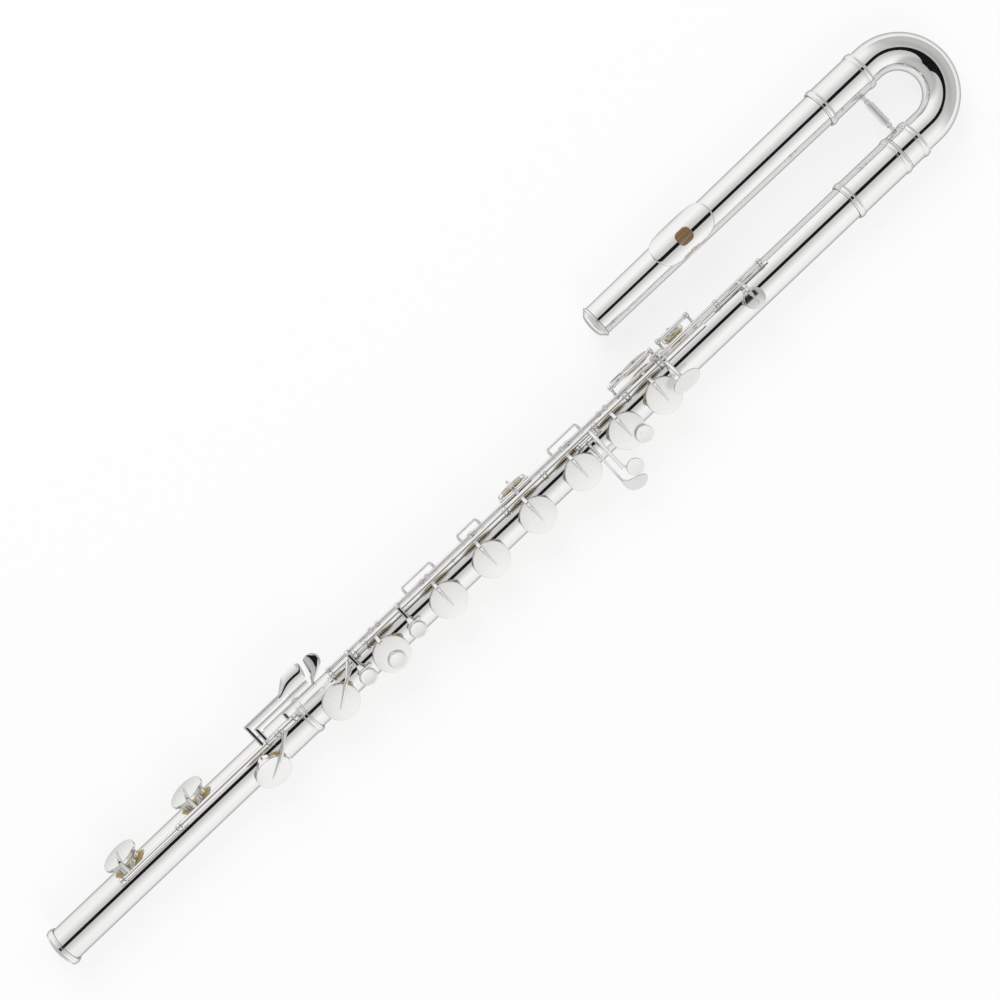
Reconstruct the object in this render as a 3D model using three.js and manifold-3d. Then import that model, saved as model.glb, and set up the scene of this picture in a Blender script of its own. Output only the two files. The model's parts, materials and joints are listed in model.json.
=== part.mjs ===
// Bass flute with a U-bend head, lying keys up. Millimetres, +Z up.
// +X runs along the body from the foot to the bend, +Y from the body to the head tube.
// Stations are counted along X from the foot end; the finished part is centred over its resting rings.
// Angles round a tube are measured from straight up, positive towards +Y.

import * as THREE from 'three';
import { mergeVertices } from 'three/addons/utils/BufferGeometryUtils.js';
import Module from 'manifold-3d';

const wasm = await Module();
wasm.setup();

// Driving dimensions: the tubing
const TUBE_DIAMETER = 30;
const TUBE_WALL = 0.8;
const CROWN_END_DIAMETER = 26.5;
const SLEEVE_WALL = 0.8;
const RING_HEIGHT = 0.95;
const RING_WIDTH = 6;
const AXIS_SPACING = 68;
const SOCKET_LENGTH = 30;
const BARREL_LENGTH = 56;
const COLLAR_LENGTH = 19;
const COLLAR_TO_BEND = 13;
const HEAD_LENGTH = 240;
const HEAD_SLEEVE_LENGTH = 47;
const HEAD_SLEEVE_TO_BEND = 7;
const TENON_LENGTH = 26;
const CROWN_LENGTH = 7.5;
const CROWN_SKIRT = 5;
const CORK_LENGTH = 12;
const CORK_PLATE = 1.2;
const CORK_SCREW_DIAMETER = 5;

// Driving dimensions: the lip plate
const CROWN_TO_EMBOUCHURE = 93;
const EMBOUCHURE_TO_CORK = 18;
const LIP_LENGTH = 58;
const LIP_SPREAD = 70;
const LIP_ROLL = 14;
const EMBOUCHURE_ROLL = 2;
const LIP_RISE = 3.2;
const LIP_THICKNESS = 1.2;
const EMBOUCHURE_LENGTH = 14;
const EMBOUCHURE_WIDTH = 12.4;
const RISER_WALL = 1.4;

// Driving dimensions: distances from one hole to the next, from the foot upwards
const FOOT_END_TO_C = 85.1;
const C_TO_C_SHARP = 72.2;
const C_SHARP_TO_D_SHARP = 62.1;
const D_SHARP_TO_SOCKET = 21.1;
const SOCKET_TO_D = 25.1;
const D_TO_E = 54.3;
const E_TO_F = 60.9;
const F_TO_F_SHARP = 45.8;
const F_SHARP_TO_G = 50;
const G_TO_UPPER_G = 48.4;
const UPPER_G_TO_A = 46.6;
const A_TO_B_FLAT = 39.9;
const B_FLAT_TO_THUMB = 1.5;
const B_FLAT_TO_TRILL_CUP = 39.5;
const B_FLAT_TO_C_SHARP = 102.8;
const C_SHARP_TO_BARREL = 107.2;

// Driving dimensions: key cups and their holes
const LARGE_CUP_DIAMETER = 30.6;
const SMALL_CUP_DIAMETER = 17.4;
const SIDE_CUP_DIAMETER = 27.6;
const TRILL_CUP_DIAMETER = 20;
const HOLE_RISE = 1.6;

// Driving dimensions: hinges
const HINGE_STANDOFF = 5.5;
const HINGE_TUBE_DIAMETER = 5.5;
const ROD_DIAMETER = 2.4;
const TRILL_TUBE_DIAMETER = 3.2;
const TRILL_ROD_DIAMETER = 1.5;
const MAIN_HINGE_ANGLE = 28;
const TRILL_LINE_SPACING = 6.06;
const FOOT_HINGE_ANGLE = 16.4;
const HOLE_SPREAD = 60;

// Running and seating clearances
const MESH_GAP = 0.3;
const END_GAP = 0.5;
const SEAT_GAP = 0.3;
const OVERRUN = 2;

// Motion: how far each key stands open or lifts, in degrees
const KEY_OPEN = 10;
const THUMB_OPEN = 13;

// Sides of the faceted solids
const TUBE_SIDES = 20;
const RING_SIDES = 20;
const CUP_SIDES = 14;
const HINGE_SIDES = 8;
const HOLE_SIDES = 10;
const STEM_SIDES = 4;
const POST_SIDES = 6;
const ARM_SIDES = 6;
const ROD_SIDES = 8;
const BEND_STEPS = 10;
const BALL_SIDES = 8;
const BALL_BANDS = 5;

// Sizes that follow from the driving dimensions
const TUBE_RADIUS = TUBE_DIAMETER / 2;
const BORE_RADIUS = TUBE_RADIUS - TUBE_WALL;
const SLEEVE_BORE = (TUBE_RADIUS + MESH_GAP) / Math.cos(Math.PI / RING_SIDES);
const SLEEVE_RADIUS = SLEEVE_BORE + SLEEVE_WALL;
const RING_RADIUS = SLEEVE_RADIUS + RING_HEIGHT;
const BEND_RADIUS = AXIS_SPACING / 2;
const HINGE_RADIUS = TUBE_RADIUS + HINGE_STANDOFF;
const SEAT_RADIUS = TUBE_RADIUS + HOLE_RISE;
const TUBE_HINGE_RADIUS = HINGE_TUBE_DIAMETER / 2;
const ROD_RADIUS = ROD_DIAMETER / 2;
const TRILL_TUBE_RADIUS = TRILL_TUBE_DIAMETER / 2;
const TRILL_ROD_RADIUS = TRILL_ROD_DIAMETER / 2;
const FRONT_HOLE_ANGLE = MAIN_HINGE_ANGLE - HOLE_SPREAD;
const TRILL_LINE_TURN = 2 * Math.asin(TRILL_LINE_SPACING / 2 / HINGE_RADIUS);
const TRILL_HINGE_ANGLE = MAIN_HINGE_ANGLE + THREE.MathUtils.radToDeg(TRILL_LINE_TURN);

// Stations along X, counted up from the foot end
const FOOT_END_X = 0;
const C_FOOT_X = FOOT_END_X + FOOT_END_TO_C;
const C_SHARP_FOOT_X = C_FOOT_X + C_TO_C_SHARP;
const D_SHARP_FOOT_X = C_SHARP_FOOT_X + C_SHARP_TO_D_SHARP;
const FOOT_SOCKET_START_X = D_SHARP_FOOT_X + D_SHARP_TO_SOCKET;
const FOOT_SOCKET_END_X = FOOT_SOCKET_START_X + SOCKET_LENGTH;
const D_KEY_X = FOOT_SOCKET_END_X + SOCKET_TO_D;
const E_KEY_X = D_KEY_X + D_TO_E;
const F_KEY_X = E_KEY_X + E_TO_F;
const F_SHARP_KEY_X = F_KEY_X + F_TO_F_SHARP;
const LOWER_G_KEY_X = F_SHARP_KEY_X + F_SHARP_TO_G;
const UPPER_G_KEY_X = LOWER_G_KEY_X + G_TO_UPPER_G;
const A_KEY_X = UPPER_G_KEY_X + UPPER_G_TO_A;
const B_FLAT_KEY_X = A_KEY_X + A_TO_B_FLAT;
const C_SHARP_KEY_X = B_FLAT_KEY_X + B_FLAT_TO_C_SHARP;
const G_SHARP_KEY_X = LOWER_G_KEY_X;
const THUMB_KEY_X = B_FLAT_KEY_X + B_FLAT_TO_THUMB;
const TRILL_CUP_X = B_FLAT_KEY_X + B_FLAT_TO_TRILL_CUP;
const BARREL_START_X = C_SHARP_KEY_X + C_SHARP_TO_BARREL;
const BARREL_END_X = BARREL_START_X + BARREL_LENGTH;
const COLLAR_END_X = BARREL_END_X + COLLAR_LENGTH;
const BEND_START_X = COLLAR_END_X + COLLAR_TO_BEND;
const HEAD_SLEEVE_END_X = BEND_START_X - HEAD_SLEEVE_TO_BEND;
const HEAD_SLEEVE_START_X = HEAD_SLEEVE_END_X - HEAD_SLEEVE_LENGTH;
const HEAD_CROWN_X = HEAD_SLEEVE_START_X - HEAD_LENGTH;
const EMBOUCHURE_X = HEAD_CROWN_X + CROWN_TO_EMBOUCHURE;
const CORK_X = EMBOUCHURE_X - EMBOUCHURE_TO_CORK;

// Finishes
const silver = new THREE.MeshStandardMaterial({ color: 0xe9eaea, roughness: 0.12, metalness: 1 });
const cupSilver = new THREE.MeshStandardMaterial({ color: 0xe4e4e2, roughness: 0.3, metalness: 1 });
const steel = new THREE.MeshStandardMaterial({ color: 0xb9bcc0, roughness: 0.25, metalness: 1 });
const padSkin = new THREE.MeshStandardMaterial({ color: 0xd2a24c, roughness: 0.6, metalness: 0 });
const corkBrown = new THREE.MeshStandardMaterial({ color: 0xa9794a, roughness: 0.9, metalness: 0 });

// Solids

function toManifold(geometry) {
  const bare = geometry.clone();
  bare.deleteAttribute('normal');
  bare.deleteAttribute('uv');
  const merged = mergeVertices(bare);
  return new wasm.Manifold(new wasm.Mesh({
    numProp: 3,
    vertProperties: new Float32Array(merged.attributes.position.array),
    triVerts: new Uint32Array(merged.index.array),
  }));
}

function toGeometry(manifold) {
  const mesh = manifold.getMesh();
  const geometry = new THREE.BufferGeometry();
  geometry.setAttribute('position', new THREE.BufferAttribute(new Float32Array(mesh.vertProperties), 3));
  geometry.setIndex(new THREE.BufferAttribute(new Uint32Array(mesh.triVerts), 1));
  return geometry;
}

function fuse(shapes) {
  const first = toManifold(shapes[0]);
  return toGeometry(shapes.slice(1).reduce((whole, shape) => whole.add(toManifold(shape)), first));
}

function cut(shape, tools) {
  const whole = toManifold(shape);
  return toGeometry(tools.reduce((left, tool) => left.subtract(toManifold(tool)), whole));
}

const radians = THREE.MathUtils.degToRad;

// A point at an angle round a tube and a distance from its axis
function around(angle, radius) {
  return { y: radius * Math.sin(radians(angle)), z: radius * Math.cos(radians(angle)) };
}

function between(from, to, share) {
  return from + (to - from) * share;
}

// A turned body along X from a closed outline of [x, radius] points, listed with x falling along the
// outside and rising along the bore
function turned(outline, sides) {
  const points = outline.map(([x, radius]) => new THREE.Vector2(radius, x));
  points.push(points[0].clone());
  const geometry = new THREE.LatheGeometry(points.reverse(), sides);
  geometry.rotateZ(-Math.PI / 2);
  return geometry;
}

// A plain round bar along X
function bar(radius, fromX, toX, sides) {
  const geometry = new THREE.CylinderGeometry(radius, radius, toX - fromX, sides);
  geometry.rotateZ(-Math.PI / 2);
  geometry.translate((fromX + toX) / 2, 0, 0);
  return geometry;
}

function pipe(outer, inner, fromX, toX, sides) {
  return turned([[toX, outer], [fromX, outer], [fromX, inner], [toX, inner]], sides);
}

// A straight bar between two points, round or with few sides, tapering if the ends differ
function strut(from, to, fromRadius, toRadius, sides) {
  const start = new THREE.Vector3(...from);
  const end = new THREE.Vector3(...to);
  const geometry = new THREE.CylinderGeometry(toRadius, fromRadius, start.distanceTo(end), sides);
  const along = end.clone().sub(start).normalize();
  const turn = new THREE.Quaternion().setFromUnitVectors(new THREE.Vector3(0, 1, 0), along);
  geometry.applyQuaternion(turn);
  const middle = start.add(end).multiplyScalar(0.5);
  geometry.translate(middle.x, middle.y, middle.z);
  return geometry;
}

// A bore of few sides that clears a round rod turning in it
function boreFor(radius, sides) {
  return (radius + MESH_GAP) / Math.cos(Math.PI / sides);
}

function ball(radius, x, y, z) {
  const geometry = new THREE.SphereGeometry(radius, BALL_SIDES, BALL_BANDS);
  geometry.rotateX(Math.PI / 2);
  geometry.translate(x, y, z);
  return geometry;
}

// A flat plate from an outline of [y, z] points, square to X and centred on it
function sidePlate(outline, width, x) {
  const shape = new THREE.Shape(outline.map(([y, z]) => new THREE.Vector2(y, z)));
  const geometry = new THREE.ExtrudeGeometry(shape, { depth: width, bevelEnabled: false });
  geometry.rotateX(Math.PI / 2);
  geometry.rotateZ(Math.PI / 2);
  geometry.translate(x - width / 2, 0, 0);
  return geometry;
}

// A flat plate from an outline of [x, y] points, resting on z
function flatPlate(outline, thickness, z) {
  const shape = new THREE.Shape(outline.map(([x, y]) => new THREE.Vector2(x, y)));
  const geometry = new THREE.ExtrudeGeometry(shape, { depth: thickness, bevelEnabled: false });
  geometry.translate(0, 0, z);
  return geometry;
}

// A disc or post square to the tube at an angle, standing between two distances from the axis
function radialDisc(radius, angle, x, inner, outer, sides) {
  const geometry = new THREE.CylinderGeometry(radius, radius, outer - inner, sides);
  geometry.rotateX(Math.PI / 2);
  geometry.translate(0, 0, (inner + outer) / 2);
  geometry.rotateX(-radians(angle));
  geometry.translate(x, 0, 0);
  return geometry;
}

// The tree

const flute = new THREE.Group();

function add(parent, name, geometry, material) {
  const mesh = new THREE.Mesh(geometry, material.clone());
  mesh.name = name;
  parent.add(mesh);
  return mesh;
}

// Tone holes: chimneys are drawn up from the tube wall and end in a flat seat

const HOLE_SHARE = 0.76;
const SIDE_HOLE_SHARE = 0.68;
const CHIMNEY_WALL = 1;

function toneHole(x, angle, cupDiameter, share = HOLE_SHARE) {
  return { x, angle, radius: cupDiameter / 2 * share, seatRadius: SEAT_RADIUS };
}

function chimney(hole) {
  return radialDisc(hole.radius, hole.angle, hole.x, 0, hole.seatRadius, HOLE_SIDES);
}

function chimneyBore(hole) {
  return radialDisc(hole.radius - CHIMNEY_WALL, hole.angle, hole.x, 0, hole.seatRadius + OVERRUN, HOLE_SIDES);
}

function tubeWithHoles(fromX, toX, holes) {
  const outside = fuse([bar(TUBE_RADIUS, fromX, toX, TUBE_SIDES), ...holes.map(chimney)]);
  const bore = bar(BORE_RADIUS, fromX - OVERRUN, toX + OVERRUN, TUBE_SIDES);
  return cut(outside, [bore, ...holes.map(chimneyBore)]);
}

const frontKeys = [
  { name: 'd_key', x: D_KEY_X, cup: LARGE_CUP_DIAMETER },
  { name: 'e_key', x: E_KEY_X, cup: LARGE_CUP_DIAMETER },
  { name: 'f_key', x: F_KEY_X, cup: LARGE_CUP_DIAMETER },
  { name: 'f_sharp_key', x: F_SHARP_KEY_X, cup: LARGE_CUP_DIAMETER },
  { name: 'lower_g_key', x: LOWER_G_KEY_X, cup: LARGE_CUP_DIAMETER },
  { name: 'upper_g_key', x: UPPER_G_KEY_X, cup: LARGE_CUP_DIAMETER },
  { name: 'a_key', x: A_KEY_X, cup: LARGE_CUP_DIAMETER },
  { name: 'b_flat_key', x: B_FLAT_KEY_X, cup: LARGE_CUP_DIAMETER },
];

const G_SHARP_ANGLE = 98;
const THUMB_ANGLE = 96;
const TRILL_CUP_ANGLE = 95;
const SMALL_HOLE_ANGLE = TRILL_HINGE_ANGLE - HOLE_SPREAD;
const FOOT_BACK_ANGLE = FOOT_HINGE_ANGLE + HOLE_SPREAD;
const FOOT_FRONT_ANGLE = FOOT_HINGE_ANGLE - HOLE_SPREAD;

const bodyHoles = [
  ...frontKeys.map((key) => toneHole(key.x, FRONT_HOLE_ANGLE, key.cup)),
  toneHole(C_SHARP_KEY_X, SMALL_HOLE_ANGLE, SMALL_CUP_DIAMETER),
  toneHole(G_SHARP_KEY_X, G_SHARP_ANGLE, SIDE_CUP_DIAMETER, SIDE_HOLE_SHARE),
  toneHole(THUMB_KEY_X, THUMB_ANGLE, SIDE_CUP_DIAMETER, SIDE_HOLE_SHARE),
  toneHole(TRILL_CUP_X, TRILL_CUP_ANGLE, TRILL_CUP_DIAMETER),
];

const footHoles = [
  toneHole(C_FOOT_X, FOOT_BACK_ANGLE, LARGE_CUP_DIAMETER),
  toneHole(C_SHARP_FOOT_X, FOOT_BACK_ANGLE, LARGE_CUP_DIAMETER),
  toneHole(D_SHARP_FOOT_X, FOOT_FRONT_ANGLE, LARGE_CUP_DIAMETER),
];

// Tubing: a beaded ring is a turned band with a rounded crown, and a flat of it lies on the table
function beadedRing(x, inner, base, height, width) {
  const half = width / 2;
  return turned([
    [x + half, base], [x + half / 2, base + height], [x - half / 2, base + height],
    [x - half, base], [x - half, inner], [x + half, inner],
  ], RING_SIDES).rotateX(Math.PI / RING_SIDES);
}

// A sleeve with a bead at one or both ends, as one turned piece
function beadedSleeve(fromX, toX, beadStart, beadEnd) {
  const half = RING_WIDTH / 2;
  const outline = [];
  if (beadEnd) {
    outline.push([toX, SLEEVE_RADIUS], [toX - half / 2, RING_RADIUS], [toX - half - half / 2, RING_RADIUS]);
    outline.push([toX - RING_WIDTH, SLEEVE_RADIUS]);
  } else {
    outline.push([toX, SLEEVE_RADIUS]);
  }
  if (beadStart) {
    outline.push([fromX + RING_WIDTH, SLEEVE_RADIUS], [fromX + half + half / 2, RING_RADIUS]);
    outline.push([fromX + half / 2, RING_RADIUS], [fromX, SLEEVE_RADIUS]);
  } else {
    outline.push([fromX, SLEEVE_RADIUS]);
  }
  outline.push([fromX, SLEEVE_BORE], [toX, SLEEVE_BORE]);
  return turned(outline, RING_SIDES).rotateX(Math.PI / RING_SIDES);
}

const BODY_START_X = FOOT_SOCKET_START_X + END_GAP;
const BODY_END_X = BARREL_END_X - TENON_LENGTH;

function buildBody(body) {
  add(body, 'body_tube', tubeWithHoles(BODY_START_X, BODY_END_X, bodyHoles), silver);
  add(body, 'barrel_sleeve', beadedSleeve(BARREL_START_X, BARREL_END_X, true, true), silver);
}

// The foot joint: tube, end ring and the socket that slides over the body
const FOOT_RING_WIDTH = 6;

function buildFoot(foot) {
  add(foot, 'foot_tube', tubeWithHoles(FOOT_END_X, FOOT_SOCKET_START_X, footHoles), silver);
  const ringX = FOOT_END_X + FOOT_RING_WIDTH / 2;
  const ringHeight = RING_RADIUS - SLEEVE_BORE;
  const base = SLEEVE_BORE + ringHeight / 2;
  add(foot, 'foot_end_ring', beadedRing(ringX, SLEEVE_BORE, base, ringHeight / 2, FOOT_RING_WIDTH), silver);
  const socketStart = FOOT_SOCKET_START_X - RING_WIDTH;
  add(foot, 'foot_socket', beadedSleeve(socketStart, FOOT_SOCKET_END_X, false, true), silver);
}

// The U-bend: rings of points round a half circle with a straight tenon on each leg, hollow and open at
// both ends
const HEAD_TENON_END_X = HEAD_SLEEVE_START_X + TENON_LENGTH;

function bendShell() {
  const stations = [{ x: BODY_END_X + END_GAP, y: 0, turn: 0 }];
  for (let i = 0; i <= BEND_STEPS; i += 1) {
    const turn = Math.PI * i / BEND_STEPS;
    stations.push({
      x: BEND_START_X + BEND_RADIUS * Math.sin(turn),
      y: BEND_RADIUS - BEND_RADIUS * Math.cos(turn),
      turn,
    });
  }
  stations.push({ x: HEAD_TENON_END_X + END_GAP, y: AXIS_SPACING, turn: Math.PI });
  const positions = [];
  for (const radius of [TUBE_RADIUS, BORE_RADIUS]) {
    for (const station of stations) {
      for (let side = 0; side < TUBE_SIDES; side += 1) {
        const angle = 2 * Math.PI * side / TUBE_SIDES;
        const out = radius * Math.cos(angle);
        positions.push(station.x + out * Math.sin(station.turn));
        positions.push(station.y - out * Math.cos(station.turn));
        positions.push(radius * Math.sin(angle));
      }
    }
  }
  const count = stations.length;
  const at = (shell, ring, side) => (shell * count + ring) * TUBE_SIDES + side % TUBE_SIDES;
  const index = [];
  const quad = (a, b, c, d) => index.push(a, c, b, a, d, c);
  for (let side = 0; side < TUBE_SIDES; side += 1) {
    for (let ring = 0; ring + 1 < count; ring += 1) {
      quad(at(0, ring, side), at(0, ring, side + 1), at(0, ring + 1, side + 1), at(0, ring + 1, side));
      quad(at(1, ring, side), at(1, ring + 1, side), at(1, ring + 1, side + 1), at(1, ring, side + 1));
    }
    const last = count - 1;
    quad(at(0, 0, side), at(1, 0, side), at(1, 0, side + 1), at(0, 0, side + 1));
    quad(at(0, last, side), at(0, last, side + 1), at(1, last, side + 1), at(1, last, side));
  }
  const geometry = new THREE.BufferGeometry();
  geometry.setAttribute('position', new THREE.Float32BufferAttribute(positions, 3));
  geometry.setIndex(index);
  return toGeometry(toManifold(geometry));
}

// The brace between the two legs: a thick bar between two beads on flanges
const BRACE_TO_BEND = 22;
const BRACE_RADIUS = 3.3;
const BRACE_NECK = 1.7;
const BRACE_BEAD = 2.6;
const BRACE_FLANGE = 3.4;
const BRACE_FLANGE_THICKNESS = 1.4;
const BRACE_BEAD_SHARE = 0.16;

function brace() {
  const x = BEND_START_X - BRACE_TO_BEND;
  const from = SLEEVE_RADIUS + MESH_GAP;
  const to = AXIS_SPACING - SLEEVE_RADIUS - MESH_GAP;
  const beadLow = between(from, to, BRACE_BEAD_SHARE);
  const beadHigh = between(to, from, BRACE_BEAD_SHARE);
  const flangeTop = from + BRACE_FLANGE_THICKNESS;
  const flangeLow = to - BRACE_FLANGE_THICKNESS;
  return fuse([
    strut([x, from, 0], [x, flangeTop, 0], BRACE_FLANGE, BRACE_NECK, ROD_SIDES),
    strut([x, flangeLow, 0], [x, to, 0], BRACE_NECK, BRACE_FLANGE, ROD_SIDES),
    strut([x, (from + flangeTop) / 2, 0], [x, beadLow, 0], BRACE_NECK, BRACE_NECK, ROD_SIDES),
    strut([x, beadHigh, 0], [x, (to + flangeLow) / 2, 0], BRACE_NECK, BRACE_NECK, ROD_SIDES),
    ball(BRACE_BEAD, x, beadLow, 0),
    ball(BRACE_BEAD, x, beadHigh, 0),
    strut([x, beadLow + BRACE_BEAD / 2, 0], [x, beadHigh - BRACE_BEAD / 2, 0],
      BRACE_RADIUS, BRACE_RADIUS, HINGE_SIDES),
  ]);
}

function buildBend(bend) {
  add(bend, 'bend_tube', bendShell(), silver);
  add(bend, 'bend_collar', beadedSleeve(BARREL_END_X + END_GAP, COLLAR_END_X, false, true), silver);
  const sleeve = beadedSleeve(HEAD_SLEEVE_START_X, HEAD_SLEEVE_END_X, true, true);
  const headSleeve = add(bend, 'head_sleeve', sleeve, silver);
  headSleeve.position.y = AXIS_SPACING;
  add(bend, 'brace', brace(), silver);
}

// A plate with round corners, centred, lying from z upwards
const CORNER_SHARE = 0.6;
const CORNER_STEPS = 3;

function roundedPlate(halfLength, halfWidth, corner, thickness, z) {
  const shape = new THREE.Shape();
  const centres = [[1, 1], [-1, 1], [-1, -1], [1, -1]];
  const points = [];
  centres.forEach(([sx, sy], quarter) => {
    for (let i = 0; i <= CORNER_STEPS; i += 1) {
      const turn = Math.PI / 2 * (quarter + i / CORNER_STEPS);
      const x = sx * (halfLength - corner) + corner * Math.cos(turn);
      points.push(new THREE.Vector2(x, sy * (halfWidth - corner) + corner * Math.sin(turn)));
    }
  });
  shape.setFromPoints(points);
  const geometry = new THREE.ExtrudeGeometry(shape, { depth: thickness, bevelEnabled: false });
  geometry.translate(0, 0, z);
  return geometry;
}

// The head joint: a tube tapering to the crown, closed by the cork, with the lip plate on its riser
const HEAD_END_X = HEAD_TENON_END_X;
const CROWN_END_RADIUS = CROWN_END_DIAMETER / 2;

function headRadiusAt(x) {
  const share = (x - HEAD_CROWN_X) / (HEAD_SLEEVE_START_X - HEAD_CROWN_X);
  return between(CROWN_END_RADIUS, TUBE_RADIUS, Math.min(share, 1));
}

function headTube() {
  const shell = turned([
    [HEAD_END_X, TUBE_RADIUS], [HEAD_SLEEVE_START_X, TUBE_RADIUS], [HEAD_CROWN_X, CROWN_END_RADIUS],
    [HEAD_CROWN_X, CROWN_END_RADIUS - TUBE_WALL], [HEAD_SLEEVE_START_X, BORE_RADIUS],
    [HEAD_END_X, BORE_RADIUS],
  ], TUBE_SIDES);
  const side = EMBOUCHURE_LENGTH / 2 + RISER_WALL + MESH_GAP;
  const reach = EMBOUCHURE_WIDTH / 2 + RISER_WALL + MESH_GAP;
  const opening = roundedPlate(side, reach, reach * CORNER_SHARE, TUBE_DIAMETER, 0);
  opening.rotateX(-radians(EMBOUCHURE_ROLL));
  opening.translate(EMBOUCHURE_X, 0, 0);
  return cut(shell, [opening]);
}

// The lip plate wraps the tube: a curved shell trimmed to an oval outline, one piece with its riser, which
// stops at the bore of the tube. The hole lies in front of the plate's middle line.
const LIP_SIDES = 32;
const LIP_CURVE_STEPS = 12;
const BORE_KEEP_SHARE = 0.98;

function lipPlate() {
  const tube = headRadiusAt(EMBOUCHURE_X + LIP_LENGTH / 2);
  const under = tube + LIP_RISE - LIP_THICKNESS;
  const from = EMBOUCHURE_X - LIP_LENGTH / 2;
  const to = EMBOUCHURE_X + LIP_LENGTH / 2;
  const band = pipe(under + LIP_THICKNESS, under, from - OVERRUN, to + OVERRUN, LIP_SIDES);
  const halfWidth = (under + LIP_THICKNESS) * Math.sin(radians(LIP_SPREAD));
  const outline = new THREE.Shape();
  outline.absellipse(0, 0, LIP_LENGTH / 2, halfWidth, 0, 2 * Math.PI);
  const oval = new THREE.ExtrudeGeometry(outline, {
    depth: TUBE_DIAMETER, bevelEnabled: false, curveSegments: LIP_CURVE_STEPS,
  });
  oval.rotateX(radians(EMBOUCHURE_ROLL - LIP_ROLL));
  oval.translate(EMBOUCHURE_X, 0, 0);
  const plate = toManifold(band).intersect(toManifold(oval));
  const side = EMBOUCHURE_LENGTH / 2 + RISER_WALL;
  const reach = EMBOUCHURE_WIDTH / 2 + RISER_WALL;
  const wall = roundedPlate(side, reach, reach * CORNER_SHARE, under + LIP_THICKNESS / 2, 0);
  wall.translate(EMBOUCHURE_X, 0, 0);
  const keep = cut(wall, [bar(BORE_RADIUS * BORE_KEEP_SHARE, from, to, TUBE_SIDES)]);
  const halfHole = EMBOUCHURE_WIDTH / 2;
  const hole = roundedPlate(EMBOUCHURE_LENGTH / 2, halfHole, halfHole * CORNER_SHARE, TUBE_DIAMETER, 0);
  hole.translate(EMBOUCHURE_X, 0, 0);
  const rolled = cut(toGeometry(plate.add(toManifold(keep))), [hole]);
  rolled.rotateX(-radians(EMBOUCHURE_ROLL));
  return rolled;
}

// The crown closes the tube end and screws onto the cork's rod, which ends in its blind bore
const CROWN_BEAD = 1.1;
const CROWN_SKIRT_FIT = 0.4;
const CROWN_SHOULDER_SHARE = 0.5;
const CROWN_WAIST_SHARE = 0.86;
const CROWN_TOP_SHARE = 0.4;
const CROWN_BORE_DEPTH_SHARE = 0.5;

function crown(screwBore) {
  const inside = CROWN_END_RADIUS - TUBE_WALL - CROWN_SKIRT_FIT;
  const face = HEAD_CROWN_X - MESH_GAP;
  const rim = CROWN_END_RADIUS + CROWN_BEAD;
  const boreEnd = face - CROWN_LENGTH * CROWN_BORE_DEPTH_SHARE;
  return turned([
    [face + CROWN_SKIRT, screwBore], [face + CROWN_SKIRT, inside], [face, inside], [face, rim],
    [face - CROWN_BEAD, rim], [face - CROWN_LENGTH * CROWN_SHOULDER_SHARE, rim * CROWN_WAIST_SHARE],
    [face - CROWN_LENGTH, rim * CROWN_TOP_SHARE], [face - CROWN_LENGTH, 0],
    [boreEnd, 0], [boreEnd, screwBore],
  ], RING_SIDES);
}

const CORK_FIT = 0.3;

function buildHead(head) {
  add(head, 'head_tube', headTube(), silver);
  add(head, 'lip_plate', lipPlate(), silver);
  const corkRadius = headRadiusAt(CORK_X) - TUBE_WALL - CORK_FIT - MESH_GAP;
  const screwRadius = CORK_SCREW_DIAMETER / 2;
  const screwBore = boreFor(screwRadius, RING_SIDES);
  const corkEnd = CORK_X + CORK_LENGTH / 2;
  add(head, 'head_cork', pipe(corkRadius, screwBore, corkEnd - CORK_LENGTH, corkEnd, TUBE_SIDES), corkBrown);
  const plateX = corkEnd + MESH_GAP;
  add(head, 'cork_screw', fuse([
    bar(corkRadius, plateX, plateX + CORK_PLATE, TUBE_SIDES),
    bar(screwRadius, HEAD_CROWN_X, plateX + CORK_PLATE / 2, ROD_SIDES),
  ]), steel);
  add(head, 'crown', crown(screwBore), silver);
}

// Keys. A key is one soldered piece: hinge tube, arm, cup and touch. It is shaped with its hole pointing
// straight up, then turned to its place round the tube and hung on a group at its hinge line.
const PAD_THICKNESS = 3;
const PAD_PROUD = 1.1;
const CUP_WALL = 0.8;
const CUP_DOME = 1.1;
const ARM_WIDTH = 3.2;
const ARM_HEIGHT = 1.6;
const SPINE_TIP = 0.5;
const SPINE_REACH = 5.5;
const TAIL_LENGTH = 7;
const TAIL_HEIGHT = 1.5;
const EDGE_SHARE = 0.94;
const SPINE_START_SHARE = 0.7;
const DOME_SHARES = [[0, 1], [0.66, 0.72], [1, 0]];

function hingeAt(angle, radius, tube, running) {
  return { ...around(angle, radius), tube, rod: running };
}

const mainHinge = hingeAt(MAIN_HINGE_ANGLE, HINGE_RADIUS, TUBE_HINGE_RADIUS, ROD_RADIUS);
const trillHinge = hingeAt(TRILL_HINGE_ANGLE, HINGE_RADIUS, TRILL_TUBE_RADIUS, TRILL_ROD_RADIUS);
const footHinge = hingeAt(FOOT_HINGE_ANGLE, HINGE_RADIUS, TUBE_HINGE_RADIUS, ROD_RADIUS);

function padBottom(spec) {
  return (spec.seat ?? SEAT_RADIUS) + SEAT_GAP;
}

function ceiling(spec) {
  return padBottom(spec) + PAD_THICKNESS + MESH_GAP;
}

function crest(spec) {
  return ceiling(spec) + CUP_WALL + CUP_DOME;
}

function rim(spec) {
  return ceiling(spec) + CUP_WALL;
}

// A turned body standing on z from an outline of [radius, z] points, closed along the axis
function standing(outline, sides, x) {
  const geometry = new THREE.LatheGeometry(outline.map(([radius, z]) => new THREE.Vector2(radius, z)), sides);
  geometry.rotateX(Math.PI / 2);
  geometry.translate(x, 0, 0);
  return geometry;
}

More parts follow.
